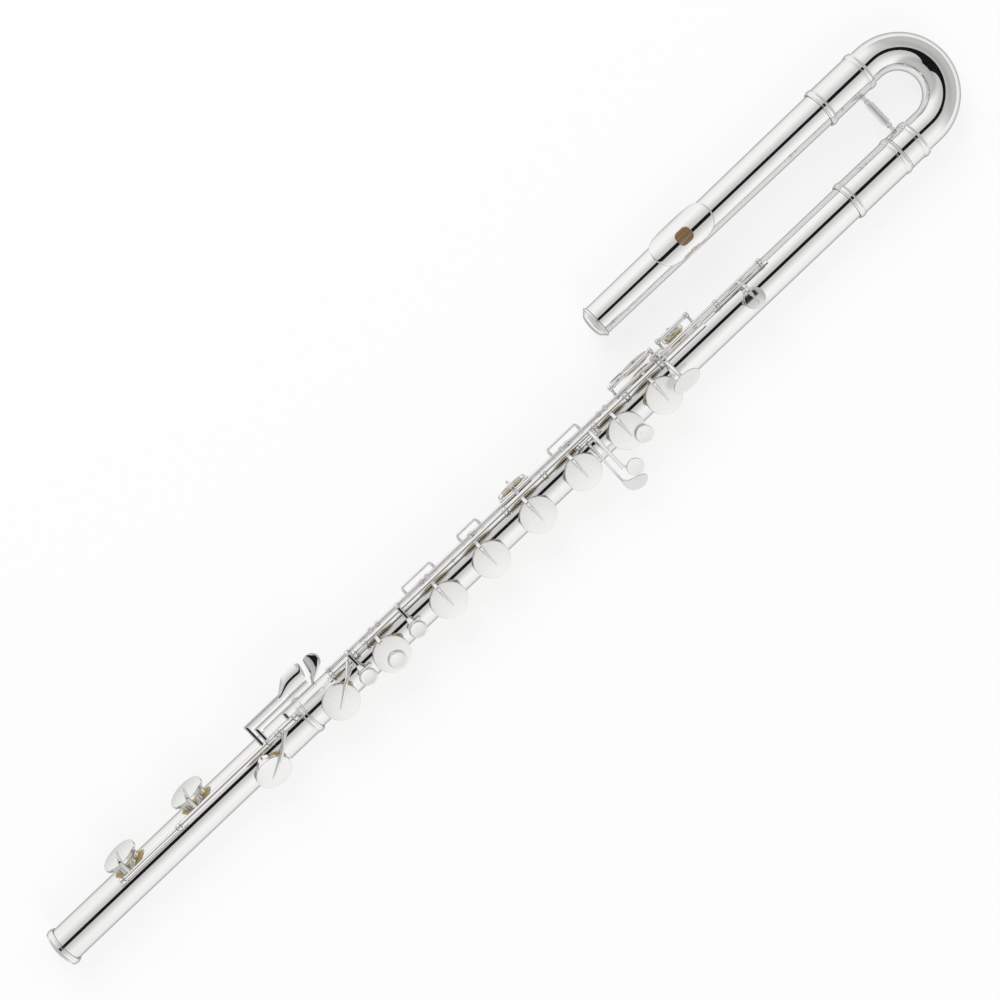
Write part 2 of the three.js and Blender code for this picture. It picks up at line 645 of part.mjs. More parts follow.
function cupShell(spec) {
  const radius = spec.cup / 2;
  const top = rim(spec);
  const dome = DOME_SHARES.map(([out, up]) => [out * radius, top + up * CUP_DOME]);
  const skirt = padBottom(spec) + PAD_PROUD;
  const inside = [
    [radius, skirt], [radius - CUP_WALL, skirt], [radius - CUP_WALL, ceiling(spec)], [0, ceiling(spec)],
  ];
  return standing([...dome, ...inside].reverse(), CUP_SIDES, spec.x);
}

function padDisc(spec) {
  const radius = spec.cup / 2 - CUP_WALL - MESH_GAP;
  return radialDisc(radius, 0, spec.x, padBottom(spec), padBottom(spec) + PAD_THICKNESS, CUP_SIDES);
}

// The hinge seen from the cup frame, where the hole points straight up
function hingeInCupFrame(spec) {
  const turn = radians(spec.angle);
  const { y, z } = spec.hinge;
  return { y: y * Math.cos(turn) - z * Math.sin(turn), z: y * Math.sin(turn) + z * Math.cos(turn) };
}

// The arm rises from the hinge tube, crosses the cup's edge and ends in a tapered spine on the dome. It is
// a flat strap where it stands square to the hinge, and a round bar where it runs across.
function cupArm(spec) {
  const hinge = hingeInCupFrame(spec);
  const edge = spec.cup / 2 * EDGE_SHARE;
  const start = spec.cup / 2 * SPINE_START_SHARE;
  const from = spec.hub ?? spec.x;
  const lift = rim(spec) + ARM_HEIGHT;
  const run = Math.hypot(from - spec.x, hinge.y);
  const at = (distance, z) => [
    spec.x + (from - spec.x) * distance / run, hinge.y * distance / run, z,
  ];
  const half = ARM_WIDTH / 2;
  const low = rim(spec) - CUP_WALL / 2;
  const spineStart = at(start + SPINE_TIP, lift - half / 2);
  const spine = strut(spineStart, at(-SPINE_REACH, crest(spec)), half, SPINE_TIP, ARM_SIDES);
  if (from !== spec.x) {
    const top = hinge.z + spec.hinge.tube + ARM_WIDTH;
    return [
      strut([from, hinge.y, hinge.z], [from, hinge.y, top], half, half, ARM_SIDES),
      strut([from, hinge.y, top - half / 2], at(edge + half, lift - half / 2), half, half, ARM_SIDES),
      strut(at(edge + ARM_WIDTH, lift - half / 2), at(start - half, lift - half / 2), half, half, ARM_SIDES),
      spine,
    ];
  }
  const side = Math.sign(hinge.y);
  const strap = sidePlate([
    [hinge.y, hinge.z + spec.hinge.tube], [side * (edge + half), lift], [side * start, lift],
    [side * start, low], [side * edge, low], [hinge.y, hinge.z],
  ], ARM_WIDTH, spec.x);
  return [strap, spine];
}

// The arm's tail over the rod behind the main line
function tail(spec) {
  const x = spec.hub ?? spec.x;
  const start = spec.hinge.tube / 2;
  return sidePlate([
    [start, start], [TAIL_LENGTH, TAIL_HEIGHT / 2], [TAIL_LENGTH, -TAIL_HEIGHT / 2],
    [start, -TAIL_HEIGHT / 2],
  ], ARM_WIDTH, x);
}

function openTurn(spec) {
  return -Math.sign(hingeInCupFrame(spec).y) * radians(spec.open);
}

// From the cup frame to the key's own group at the hinge line, at rest
function seated(geometry, spec) {
  const placed = geometry.clone();
  placed.rotateX(-radians(spec.angle));
  placed.translate(0, -spec.hinge.y, -spec.hinge.z);
  placed.rotateX(openTurn(spec));
  return placed;
}

// Hinge tube from segments of [from, to] stations
function hingeTubes(spec) {
  return spec.tubes.map(([from, to]) => bar(spec.hinge.tube, from, to, HINGE_SIDES));
}

function rodBore(spec) {
  const from = Math.min(...spec.tubes.map((tube) => tube[0])) - OVERRUN;
  const to = Math.max(...spec.tubes.map((tube) => tube[1])) + OVERRUN;
  return bar(boreFor(spec.hinge.rod, HINGE_SIDES), from, to, HINGE_SIDES);
}

function buildKey(parent, spec) {
  const group = new THREE.Group();
  group.position.set(0, spec.hinge.y, spec.hinge.z);
  parent.add(group);
  const pieces = [...hingeTubes(spec), ...(spec.level ?? [])];
  if (spec.cup) {
    pieces.push(seated(cupShell(spec), spec));
    if (!spec.ownArm) {
      pieces.push(...cupArm(spec).map((piece) => seated(piece, spec)));
    }
  }
  if (spec.tail) {
    pieces.push(tail(spec));
  }
  pieces.push(...(spec.raised ?? []).map((piece) => seated(piece, spec)));
  if (spec.touches) {
    pieces.push(...spec.touches(spec).map((piece) => seated(piece, spec)));
  }
  const whole = fuse(pieces);
  const shape = spec.solidRod ? whole : cut(whole, [rodBore(spec)]);
  add(group, spec.name, shape, cupSilver);
  if (spec.cup) {
    add(group, spec.name.replace('_key', '') + '_pad', seated(padDisc(spec), spec), padSkin);
  }
  return group;
}

// Main line: each post stands a named distance below or above a key's station
const D_HUB_ALONG = 24.9;
const END_POST_BELOW_HUB = 16.3;
const D_POST_ABOVE_HUB = 7.8;
const E_POST_BELOW = 10.3;
const G_POST_BELOW = 16.7;
const UPPER_G_POST_BELOW = 23.9;
const A_POST_BELOW = 16.1;
const B_FLAT_POST_BELOW = 21.8;
const TOP_POST_ABOVE = 15;
const POST_HALF = 1.9;
const EF_SHARE = 0.46;
const F_SHARP_SHARE = 0.5;

const D_HUB_X = D_KEY_X + D_HUB_ALONG;
const END_POST_X = D_HUB_X - END_POST_BELOW_HUB;
const D_POST_X = D_HUB_X + D_POST_ABOVE_HUB;
const E_POST_X = E_KEY_X - E_POST_BELOW;
const G_POST_X = LOWER_G_KEY_X - G_POST_BELOW;
const UPPER_G_POST_X = UPPER_G_KEY_X - UPPER_G_POST_BELOW;
const A_POST_X = A_KEY_X - A_POST_BELOW;
const B_FLAT_POST_X = B_FLAT_KEY_X - B_FLAT_POST_BELOW;
const TOP_POST_X = B_FLAT_KEY_X + TOP_POST_ABOVE;

function frontSpec(index, more) {
  const key = frontKeys[index];
  return { ...key, angle: FRONT_HOLE_ANGLE, hinge: mainHinge, open: KEY_OPEN, tail: true, ...more };
}

function buildMainKeys(body) {
  const gap = POST_HALF + END_GAP;
  const eEnd = between(E_KEY_X, F_KEY_X, EF_SHARE);
  const fEnd = between(F_KEY_X, F_SHARP_KEY_X, F_SHARP_SHARE);
  const specs = [
    frontSpec(0, { hub: D_HUB_X, tubes: [[END_POST_X + gap, D_POST_X - gap]], tail: false }),
    frontSpec(1, { tubes: [[E_POST_X + gap, eEnd]], touches: eButton }),
    frontSpec(2, { tubes: [[eEnd + END_GAP, fEnd]] }),
    frontSpec(3, { tubes: [[fEnd + END_GAP, G_POST_X - gap]] }),
    frontSpec(4, { tubes: [[G_POST_X + gap, UPPER_G_POST_X - gap]] }),
    frontSpec(5, { tubes: [[UPPER_G_POST_X + gap, A_POST_X - gap]], touches: ringTouch }),
    frontSpec(6, { tubes: [[A_POST_X + gap, B_FLAT_POST_X - gap]], touches: middleTouch }),
    frontSpec(7, { tubes: [[B_FLAT_POST_X + gap, TOP_POST_X - gap]] }),
  ];
  specs.forEach((spec) => buildKey(body, spec));
}

// Posts and the ribs that carry them
const RIB_HEIGHT = 1.3;
const RIB_FROM_ANGLE = 24;
const RIB_TO_ANGLE = 49;
const UPPER_RIB_FROM_ANGLE = 36;
const TAB_OVERLAP = 5;
const RIB_STEPS = 3;
const SOCKET_RIB_HEIGHT = 0.8;
const FOOT_RIB_SPREAD = 8;
const STEM_RADIUS = 1.3;
const POST_BALL = 3.1;
const SMALL_BALL = 2.5;
const LEVER_BALL = 1.7;
const BALL_WIDTH_SHARE = 0.6;

// A curved strap lying on the tube between two angles
function rib(fromAngle, toAngle, fromX, toX, under = TUBE_RADIUS, height = RIB_HEIGHT) {
  const inner = under + MESH_GAP;
  const outer = inner + height;
  const points = [];
  for (let i = 0; i <= RIB_STEPS; i += 1) {
    const { y, z } = around(between(fromAngle, toAngle, i / RIB_STEPS), outer);
    points.push([y, z]);
  }
  for (let i = RIB_STEPS; i >= 0; i -= 1) {
    const { y, z } = around(between(fromAngle, toAngle, i / RIB_STEPS), inner);
    points.push([y, z]);
  }
  return sidePlate(points, toX - fromX, (fromX + toX) / 2);
}

// A post stands on its rib and ends in a ball bored for the rod or for a tube that turns in it
function post(x, angle, hingeRadius, ballRadius, under) {
  const { y, z } = around(angle, hingeRadius);
  const inner = under + MESH_GAP + SOCKET_RIB_HEIGHT / 2;
  const half = ballRadius * BALL_WIDTH_SHARE;
  const head = bar(ballRadius, x - half, x + half, POST_SIDES);
  head.translate(0, y, z);
  return [radialDisc(STEM_RADIUS, angle, x, inner, hingeRadius, STEM_SIDES), head];
}

function postBore(x, angle, hingeRadius, running) {
  const { y, z } = around(angle, hingeRadius);
  const reach = HINGE_TUBE_DIAMETER;
  const bore = bar(boreFor(running, POST_SIDES), x - reach, x + reach, POST_SIDES);
  bore.translate(0, y, z);
  return bore;
}

const LOW_GUIDE_ABOVE_E = 7.2;
const LOW_BRIDGE_BELOW_F = 5.9;
const MIDDLE_BRIDGE_ABOVE_F_SHARP = 2.3;
const HIGH_BRIDGE_ABOVE_G = 6.1;
const HIGH_GUIDE_BELOW_A = 7.1;
const C_SHARP_GUIDE_BELOW = 23.8;
const C_SHARP_END_ABOVE = 23;

const THIN_END_X = END_POST_X;
const LOW_GUIDE_X = E_KEY_X + LOW_GUIDE_ABOVE_E;
const LOW_BRIDGE_X = F_KEY_X - LOW_BRIDGE_BELOW_F;
const MIDDLE_BRIDGE_X = F_SHARP_KEY_X + MIDDLE_BRIDGE_ABOVE_F_SHARP;
const HIGH_BRIDGE_X = UPPER_G_KEY_X + HIGH_BRIDGE_ABOVE_G;
const HIGH_GUIDE_X = A_KEY_X - HIGH_GUIDE_BELOW_A;
const TRILL_TOP_X = TOP_POST_X;
const C_SHARP_GUIDE_X = C_SHARP_KEY_X - C_SHARP_GUIDE_BELOW;
const C_SHARP_END_X = C_SHARP_KEY_X + C_SHARP_END_ABOVE;

const mainPosts = [
  END_POST_X, D_POST_X, E_POST_X, G_POST_X, UPPER_G_POST_X, A_POST_X, B_FLAT_POST_X, TOP_POST_X,
];
const bridgePosts = [LOW_BRIDGE_X, MIDDLE_BRIDGE_X, HIGH_BRIDGE_X];
const trillGuides = [LOW_GUIDE_X, HIGH_GUIDE_X];
const RIB_MARGIN = 5;

// The C sharp key: the index finger's plate and the small cup near the bend on one long tube
const INDEX_ARM_ABOVE_POST = 3.7;
const INDEX_PLATE_AHEAD = 1.1;
const INDEX_PLATE_LENGTH = 25.5;
const INDEX_PLATE_WIDTH = 13;
const INDEX_PLATE_REACH = 28.5;
const TOUCH_THICKNESS = 1.6;
const TOUCH_CLEARANCE = 7;
const ARM_CLEARANCE = 1.6;
const REST_TILT = 20;
const OVAL_POINTS = 16;

// A bent strap through [y, z] points, centred on x, with square mitres at its bends
function strap(x, width, height, points) {
  const line = points.map(([y, z]) => new THREE.Vector2(y, z));
  const runs = line.slice(1).map((point, i) => point.clone().sub(line[i]).normalize());
  const mitres = line.map((point, i) => {
    const before = runs[Math.max(i - 1, 0)];
    const after = runs[Math.min(i, runs.length - 1)];
    const middle = before.clone().add(after).normalize();
    const normal = new THREE.Vector2(-middle.y, middle.x);
    return normal.multiplyScalar(height / 2 / middle.dot(before));
  });
  const upper = line.map((point, i) => point.clone().add(mitres[i]).toArray());
  const lower = line.map((point, i) => point.clone().sub(mitres[i]).toArray()).reverse();
  return sidePlate([...upper, ...lower], width, x);
}

function disc(radius, x, y, z, thickness, tilt) {
  const geometry = new THREE.CylinderGeometry(radius, radius, thickness, CUP_SIDES);
  geometry.rotateX(Math.PI / 2 + radians(tilt));
  geometry.translate(x, y, z);
  return geometry;
}

// The height over the main tubes that an arm from the rod behind them has to clear, seen from its own hinge
const overMain = mainHinge.z - trillHinge.z + TUBE_HINGE_RADIUS + ARM_HEIGHT / 2 + ARM_CLEARANCE;
const beyondMain = mainHinge.y - trillHinge.y - TUBE_HINGE_RADIUS;

function ovalOutline(halfLength, halfWidth) {
  const points = [];
  for (let i = 0; i < OVAL_POINTS; i += 1) {
    const turn = 2 * Math.PI * i / OVAL_POINTS;
    points.push([halfLength * Math.cos(turn), halfWidth * Math.sin(turn)]);
  }
  return points;
}

function cSharpKey(body) {
  const plateZ = overMain + TOUCH_CLEARANCE;
  const plate = flatPlate(ovalOutline(INDEX_PLATE_LENGTH / 2, INDEX_PLATE_WIDTH / 2), TOUCH_THICKNESS, 0);
  plate.rotateX(radians(REST_TILT));
  const armX = TRILL_TOP_X + INDEX_ARM_ABOVE_POST;
  plate.translate(armX + INDEX_PLATE_AHEAD, -INDEX_PLATE_REACH, plateZ - TOUCH_THICKNESS);
  const arm = strap(armX, ARM_WIDTH, ARM_HEIGHT, [
    [TRILL_TUBE_RADIUS / 2, 0], [TRILL_TUBE_RADIUS / 2, overMain], [beyondMain, overMain],
    [-INDEX_PLATE_REACH + INDEX_PLATE_WIDTH / 2, plateZ], [-INDEX_PLATE_REACH, plateZ - TOUCH_THICKNESS / 2],
  ]);
  const gap = SMALL_BALL * BALL_WIDTH_SHARE + END_GAP;
  buildKey(body, {
    name: 'c_sharp_key', x: C_SHARP_KEY_X, cup: SMALL_CUP_DIAMETER, angle: SMALL_HOLE_ANGLE,
    hinge: trillHinge, open: KEY_OPEN, tubes: [[TRILL_TOP_X + gap, C_SHARP_END_X - gap]], level: [arm, plate],
  });
}

// The trill key: two touches between the right hand's cups, on one tube that is bridged past three posts
const LOW_TOUCH_BELOW_POST = 3.5;
const TRILL_TOUCH_RADIUS = 7.4;
const TRILL_TOUCH_REACH = 24.4;
const TRILL_TOUCH_DROP = 0.6;
const BRIDGE_OFFSET = 7.2;
const BRIDGE_RADIUS = 1.1;
const BRIDGE_HALF = 15;
const SHORT_BRIDGE_HALF = 10;
const FINGER_REACH = 3.4;
const FINGER_LIFT = 2.4;
const FINGER_STOP = 2.5;
const BRIDGE_LEAN = 74;

const LOW_TOUCH_X = D_POST_X - LOW_TOUCH_BELOW_POST;
const HIGH_TOUCH_X = between(E_KEY_X, F_KEY_X, EF_SHARE);

function bridge(x, half) {
  const { y, z } = around(BRIDGE_LEAN, BRIDGE_OFFSET);
  const runHalf = half + BRIDGE_RADIUS;
  return [
    strut([x - half, 0, 0], [x - half, y, z], BRIDGE_RADIUS, BRIDGE_RADIUS, ARM_SIDES),
    strut([x + half, 0, 0], [x + half, y, z], BRIDGE_RADIUS, BRIDGE_RADIUS, ARM_SIDES),
    strut([x - runHalf, y, z], [x + runHalf, y, z], BRIDGE_RADIUS, BRIDGE_RADIUS, ARM_SIDES),
  ];
}

function trillTouch(x) {
  const discZ = overMain - TRILL_TOUCH_DROP;
  return [
    strap(x, ARM_WIDTH, ARM_HEIGHT, [
      [TRILL_TUBE_RADIUS / 2, 0], [TRILL_TUBE_RADIUS / 2, overMain], [beyondMain, overMain],
      [-TRILL_TOUCH_REACH + TRILL_TOUCH_RADIUS / 2, discZ],
    ]),
    disc(TRILL_TOUCH_RADIUS, x, -TRILL_TOUCH_REACH, discZ, TOUCH_THICKNESS, REST_TILT),
  ];
}

function trillKey(body) {
  const gap = SMALL_BALL * BALL_WIDTH_SHARE + END_GAP;
  const stops = [THIN_END_X, ...bridgePosts, TRILL_TOP_X];
  const tubes = stops.slice(1).map((stop, i) => [stops[i] + gap, stop - gap]);
  const end = TRILL_TOP_X - gap - BRIDGE_RADIUS;
  const tip = TRILL_CUP_POST_LOW_X - FINGER_STOP;
  const level = [
    ...trillTouch(LOW_TOUCH_X), ...trillTouch(HIGH_TOUCH_X),
    ...bridge(LOW_BRIDGE_X, BRIDGE_HALF), ...bridge(MIDDLE_BRIDGE_X, SHORT_BRIDGE_HALF),
    ...bridge(HIGH_BRIDGE_X, BRIDGE_HALF),
    strut([end, 0, 0], [end, FINGER_REACH, FINGER_LIFT], BRIDGE_RADIUS, BRIDGE_RADIUS, ARM_SIDES),
    strut([end - BRIDGE_RADIUS, FINGER_REACH, FINGER_LIFT], [tip, FINGER_REACH, FINGER_LIFT],
      BRIDGE_RADIUS, BRIDGE_RADIUS, ARM_SIDES),
  ];
  buildKey(body, { name: 'trill_key', hinge: trillHinge, tubes, level });
}

// Side keys on the far side of the tube: the G sharp cup, the thumb cup and the trill cup
const G_SHARP_HINGE_ANGLE = 58;
const G_SHARP_STANDOFF = 4;
const SIDE_TUBE_DIAMETER = 3.2;
const SIDE_ROD_DIAMETER = 1.5;
const G_SHARP_POST_SPAN = 13.5;
const THUMB_HINGE_STANDOFF = 4;
const TRILL_CUP_HINGE_STANDOFF = 5.5;
const THUMB_POST_BELOW = 27.9;
const THUMB_POST_ABOVE = 15;
const THUMB_SPLIT_BELOW = 12.5;
const THUMB_LEVER_LENGTH = 13;
const TRILL_CUP_POST_BELOW = 14;
const TRILL_CUP_POST_ABOVE = 17;
const STUD_HEIGHT = 4.4;
const STUD_RADIUS = 1.2;

const THUMB_POST_LOW_X = THUMB_KEY_X - THUMB_POST_BELOW;
const THUMB_POST_HIGH_X = THUMB_KEY_X + THUMB_POST_ABOVE;
const THUMB_SPLIT_X = THUMB_KEY_X - THUMB_SPLIT_BELOW;
const TRILL_CUP_POST_LOW_X = TRILL_CUP_X - TRILL_CUP_POST_BELOW;
const TRILL_CUP_POST_HIGH_X = TRILL_CUP_X + TRILL_CUP_POST_ABOVE;
const sideTube = SIDE_TUBE_DIAMETER / 2;
const sideRod = SIDE_ROD_DIAMETER / 2;

// A hinge just above a side cup, standing out from its seat
function hingeAbove(angle, cup, standoff) {
  const across = -(cup / 2 + MESH_GAP + ARM_HEIGHT + sideTube);
  const out = SEAT_RADIUS + standoff;
  const turn = radians(angle);
  return {
    y: out * Math.sin(turn) + across * Math.cos(turn), z: out * Math.cos(turn) - across * Math.sin(turn),
    tube: sideTube, rod: sideRod,
  };
}

const gSharpHinge = hingeAt(G_SHARP_HINGE_ANGLE, TUBE_RADIUS + G_SHARP_STANDOFF, sideTube, sideRod);
const thumbHinge = hingeAbove(THUMB_ANGLE, SIDE_CUP_DIAMETER, THUMB_HINGE_STANDOFF);
const trillCupHinge = hingeAbove(TRILL_CUP_ANGLE, TRILL_CUP_DIAMETER, TRILL_CUP_HINGE_STANDOFF);

function polar(hinge) {
  const angle = THREE.MathUtils.radToDeg(Math.atan2(hinge.y, hinge.z));
  return { angle, radius: Math.hypot(hinge.y, hinge.z) };
}

function stud(spec) {
  return radialDisc(STUD_RADIUS, 0, spec.x, rim(spec), crest(spec) + STUD_HEIGHT, ARM_SIDES);
}

// An arm that comes round the top edge of the G sharp cup from a hinge behind its pad
function edgeArm(spec) {
  const hinge = hingeInCupFrame(spec);
  const edge = -(spec.cup / 2 + MESH_GAP);
  const top = rim(spec) + ARM_HEIGHT;
  return sidePlate([
    [hinge.y, hinge.z + spec.hinge.tube / 2], [edge, hinge.z + ARM_HEIGHT], [edge, rim(spec) - CUP_WALL],
    [0, rim(spec)], [0, crest(spec) + ARM_HEIGHT / 2], [edge * SPINE_START_SHARE, top],
    [edge - ARM_HEIGHT, top], [edge - ARM_HEIGHT, hinge.z], [hinge.y, hinge.z - spec.hinge.tube / 2],
  ], ARM_WIDTH, spec.x);
}

function gSharpKey(body) {
  const half = G_SHARP_POST_SPAN - POST_HALF;
  const spec = {
    name: 'g_sharp_key', x: G_SHARP_KEY_X, cup: SIDE_CUP_DIAMETER, angle: G_SHARP_ANGLE, hinge: gSharpHinge,
    open: 0, tubes: [[G_SHARP_KEY_X - half, G_SHARP_KEY_X + half]], ownArm: true,
  };
  spec.raised = [edgeArm(spec), stud(spec)];
  buildKey(body, spec);
}

function thumbKeys(body) {
  const from = THUMB_POST_LOW_X + POST_HALF + END_GAP;
  const to = THUMB_POST_HIGH_X - POST_HALF - END_GAP;
  buildKey(body, {
    name: 'thumb_key', x: THUMB_KEY_X, cup: SIDE_CUP_DIAMETER, angle: THUMB_ANGLE, hinge: thumbHinge,
    open: THUMB_OPEN, tubes: [[THUMB_SPLIT_X + END_GAP / 2, to]],
  });
  const middle = (from + THUMB_SPLIT_X) / 2;
  const arm = strap(middle, ARM_WIDTH, ARM_HEIGHT, [
    [0, sideTube], [sideTube * 2, 0], [sideTube * 2, -THUMB_LEVER_LENGTH / 2],
  ]);
  const width = THUMB_SPLIT_X - from - POST_HALF;
  const plate = new THREE.BoxGeometry(width, TOUCH_THICKNESS, THUMB_LEVER_LENGTH);
  plate.translate(middle, sideTube * 2, -THUMB_LEVER_LENGTH / 2);
  buildKey(body, {
    name: 'thumb_b_flat_lever', hinge: thumbHinge, level: [arm, plate],
    tubes: [[from, THUMB_SPLIT_X - END_GAP / 2]],
  });
}

function trillCupKey(body) {
  const spec = {
    name: 'trill_cup_key', x: TRILL_CUP_X, cup: TRILL_CUP_DIAMETER, angle: TRILL_CUP_ANGLE,
    hinge: trillCupHinge, open: 0,
    tubes: [[TRILL_CUP_POST_LOW_X + POST_HALF, TRILL_CUP_POST_HIGH_X - POST_HALF]],
  };
  spec.raised = [stud(spec)];
  buildKey(body, spec);
}

// The G sharp lever: a long thin arm to the little finger's spatula, on a short rod in front of the main line
const LEVER_HINGE_ANGLE = 15.5;
const LEVER_STANDOFF = 6.4;
const LEVER_TUBE_DIAMETER = 3.2;
const LEVER_ARM_ABOVE_G = 17.9;
const LEVER_POST_BELOW = 8.4;
const LEVER_POST_ABOVE = 12.1;
const LEVER_ARM_WIDTH = 2.2;
const LEVER_REACH = 42;
const SPATULA_LENGTH = 18.5;
const SPATULA_WIDTH = 15;
const LEVER_DROP = 13;
const LEVER_KNEE_SHARE = 0.33;

const LEVER_ARM_X = UPPER_G_KEY_X + LEVER_ARM_ABOVE_G;
const LEVER_POST_LOW_X = LEVER_ARM_X - LEVER_POST_BELOW;
const LEVER_POST_HIGH_X = LEVER_ARM_X + LEVER_POST_ABOVE;

const leverHinge = hingeAt(LEVER_HINGE_ANGLE, TUBE_RADIUS + LEVER_STANDOFF, LEVER_TUBE_DIAMETER / 2,
  TRILL_ROD_RADIUS);

const spatulaShares = [
  [0, 1], [0, 0.45], [0.16, 0.16], [0.42, 0], [0.68, 0], [0.9, 0.12], [1, 0.3], [0.92, 0.48], [0.76, 0.6],
  [0.5, 0.7], [0.25, 0.82], [0.12, 1],
];

function gSharpLever(body) {
  const left = LEVER_ARM_X - LEVER_ARM_WIDTH / 2;
  const outline = spatulaShares.map(([along, up]) => [
    left + along * SPATULA_LENGTH, (up - 1) * SPATULA_WIDTH,
  ]);
  const plate = flatPlate(outline, TOUCH_THICKNESS, 0);
  plate.rotateX(radians(REST_TILT / 2));
  plate.translate(0, -LEVER_REACH, -LEVER_DROP);
  const arm = strap(LEVER_ARM_X, LEVER_ARM_WIDTH, ARM_HEIGHT, [
    [0, leverHinge.tube / 2], [-leverHinge.tube * 2, leverHinge.tube / 2],
    [-LEVER_REACH / 2, -LEVER_DROP * LEVER_KNEE_SHARE],
    [-LEVER_REACH - TOUCH_THICKNESS, -LEVER_DROP + TOUCH_THICKNESS / 2],
  ]);
  buildKey(body, {
    name: 'g_sharp_lever', hinge: leverHinge, level: [arm, plate],
    tubes: [[LEVER_POST_LOW_X + POST_HALF, LEVER_POST_HIGH_X - POST_HALF]],
  });
}

// Foot keys: the C key's rod runs through the C sharp key's tube to its own touch
const FOOT_POST_BELOW_C = 8.6;
const FOOT_POST_BELOW_C_SHARP = 20.1;
const SOCKET_POST_INSET = 2.4;
const D_SHARP_POST_INSET = 8.8;
const C_TUBE_DIAMETER = 3.8;
const C_SHARP_TOUCH_BELOW_POST = 14.6;
const C_TOUCH_BELOW_POST = 9.8;
const D_SHARP_HUB_ABOVE_POST = 4.8;
const D_SHARP_TOUCH_BELOW_POST = 4.7;
const SPOON_INSET = 3.6;
const SPOON_LENGTH = 23.8;
const SPOON_SPACING = 1.2;
const D_SPOON_LENGTH = 15.2;
const TOUCH_BAR_INNER = 16.9;
const TOUCH_BAR_OUTER = 22;
const SPOON_OUTER = 31;
const C_BAR_INNER = 11.4;
const C_BAR_OUTER = 15.8;
const D_BAR_INNER = 6.4;
const D_BAR_OUTER = 10;
const D_SPOON_OUTER = 29;
const TOUCH_LIFT = 1.2;
const TOUCH_TAPER_SHARE = 0.4;
const SPOON_CORNER_SHARE = 0.8;
const D_SPOON_CORNER_SHARE = 0.75;
const D_SPOON_NECK_SHARE = 0.3;

const FOOT_POST_LOW_X = C_FOOT_X - FOOT_POST_BELOW_C;
const FOOT_POST_MIDDLE_X = C_SHARP_FOOT_X - FOOT_POST_BELOW_C_SHARP;
const FOOT_POST_HIGH_X = FOOT_SOCKET_START_X + SOCKET_POST_INSET;
const D_SHARP_POST_X = FOOT_SOCKET_END_X - D_SHARP_POST_INSET;
const C_SHARP_TOUCH_X = FOOT_POST_HIGH_X - C_SHARP_TOUCH_BELOW_POST;
const C_TOUCH_X = FOOT_POST_HIGH_X - C_TOUCH_BELOW_POST;
const D_SHARP_HUB_X = FOOT_POST_HIGH_X + D_SHARP_HUB_ABOVE_POST;
const D_SHARP_TOUCH_X = D_SHARP_POST_X - D_SHARP_TOUCH_BELOW_POST;
const SPOON_START_X = FOOT_SOCKET_END_X - SPOON_INSET;
const SPOON_END_X = SPOON_START_X + SPOON_LENGTH;
const D_SPOON_START_X = SPOON_END_X + SPOON_SPACING;
const D_SPOON_END_X = D_SPOON_START_X + D_SPOON_LENGTH;

function levelPlate(outline, z) {
  return flatPlate(outline, TOUCH_THICKNESS, z);
}

function footTouchArm(x, reach) {
  return strap(x, ARM_WIDTH, ARM_HEIGHT, [[0, TOUCH_LIFT], [reach, TOUCH_LIFT + TOUCH_THICKNESS / 2]]);
}

function cSharpFootTouch() {
  const taper = between(SPOON_START_X, SPOON_END_X, TOUCH_TAPER_SHARE);
  const start = C_SHARP_TOUCH_X - ARM_WIDTH / 2;
  return [
    footTouchArm(C_SHARP_TOUCH_X, TOUCH_BAR_OUTER),
    levelPlate([
      [start, TOUCH_BAR_INNER], [SPOON_END_X, TOUCH_BAR_INNER], [SPOON_END_X, SPOON_OUTER],
      [taper, between(TOUCH_BAR_OUTER, SPOON_OUTER, SPOON_CORNER_SHARE)], [SPOON_START_X, TOUCH_BAR_OUTER],
      [start, TOUCH_BAR_OUTER],
    ], TOUCH_LIFT),
  ];
}

function cFootTouch() {
  return [
    footTouchArm(C_TOUCH_X, C_BAR_OUTER),
    levelPlate([
      [C_TOUCH_X - ARM_WIDTH / 2, C_BAR_INNER], [SPOON_END_X, C_BAR_INNER], [SPOON_END_X, C_BAR_OUTER],
      [C_TOUCH_X - ARM_WIDTH / 2, C_BAR_OUTER],
    ], TOUCH_LIFT),
  ];
}

function dSharpFootTouch() {
  const taper = between(D_SPOON_START_X, D_SPOON_END_X, TOUCH_TAPER_SHARE);
  const start = D_SHARP_TOUCH_X - ARM_WIDTH / 2;
  return [
    footTouchArm(D_SHARP_TOUCH_X, D_BAR_OUTER),
    levelPlate([
      [start, D_BAR_INNER], [D_SPOON_START_X, D_BAR_INNER],
      [D_SPOON_END_X, between(D_BAR_INNER, D_SPOON_OUTER, D_SPOON_CORNER_SHARE)],
      [D_SPOON_END_X, D_SPOON_OUTER], [taper, D_SPOON_OUTER],
      [D_SPOON_START_X, between(D_BAR_OUTER, D_SPOON_OUTER, D_SPOON_NECK_SHARE)],
      [D_SPOON_START_X, D_BAR_OUTER], [start, D_BAR_OUTER],
    ], TOUCH_LIFT),
  ];
}

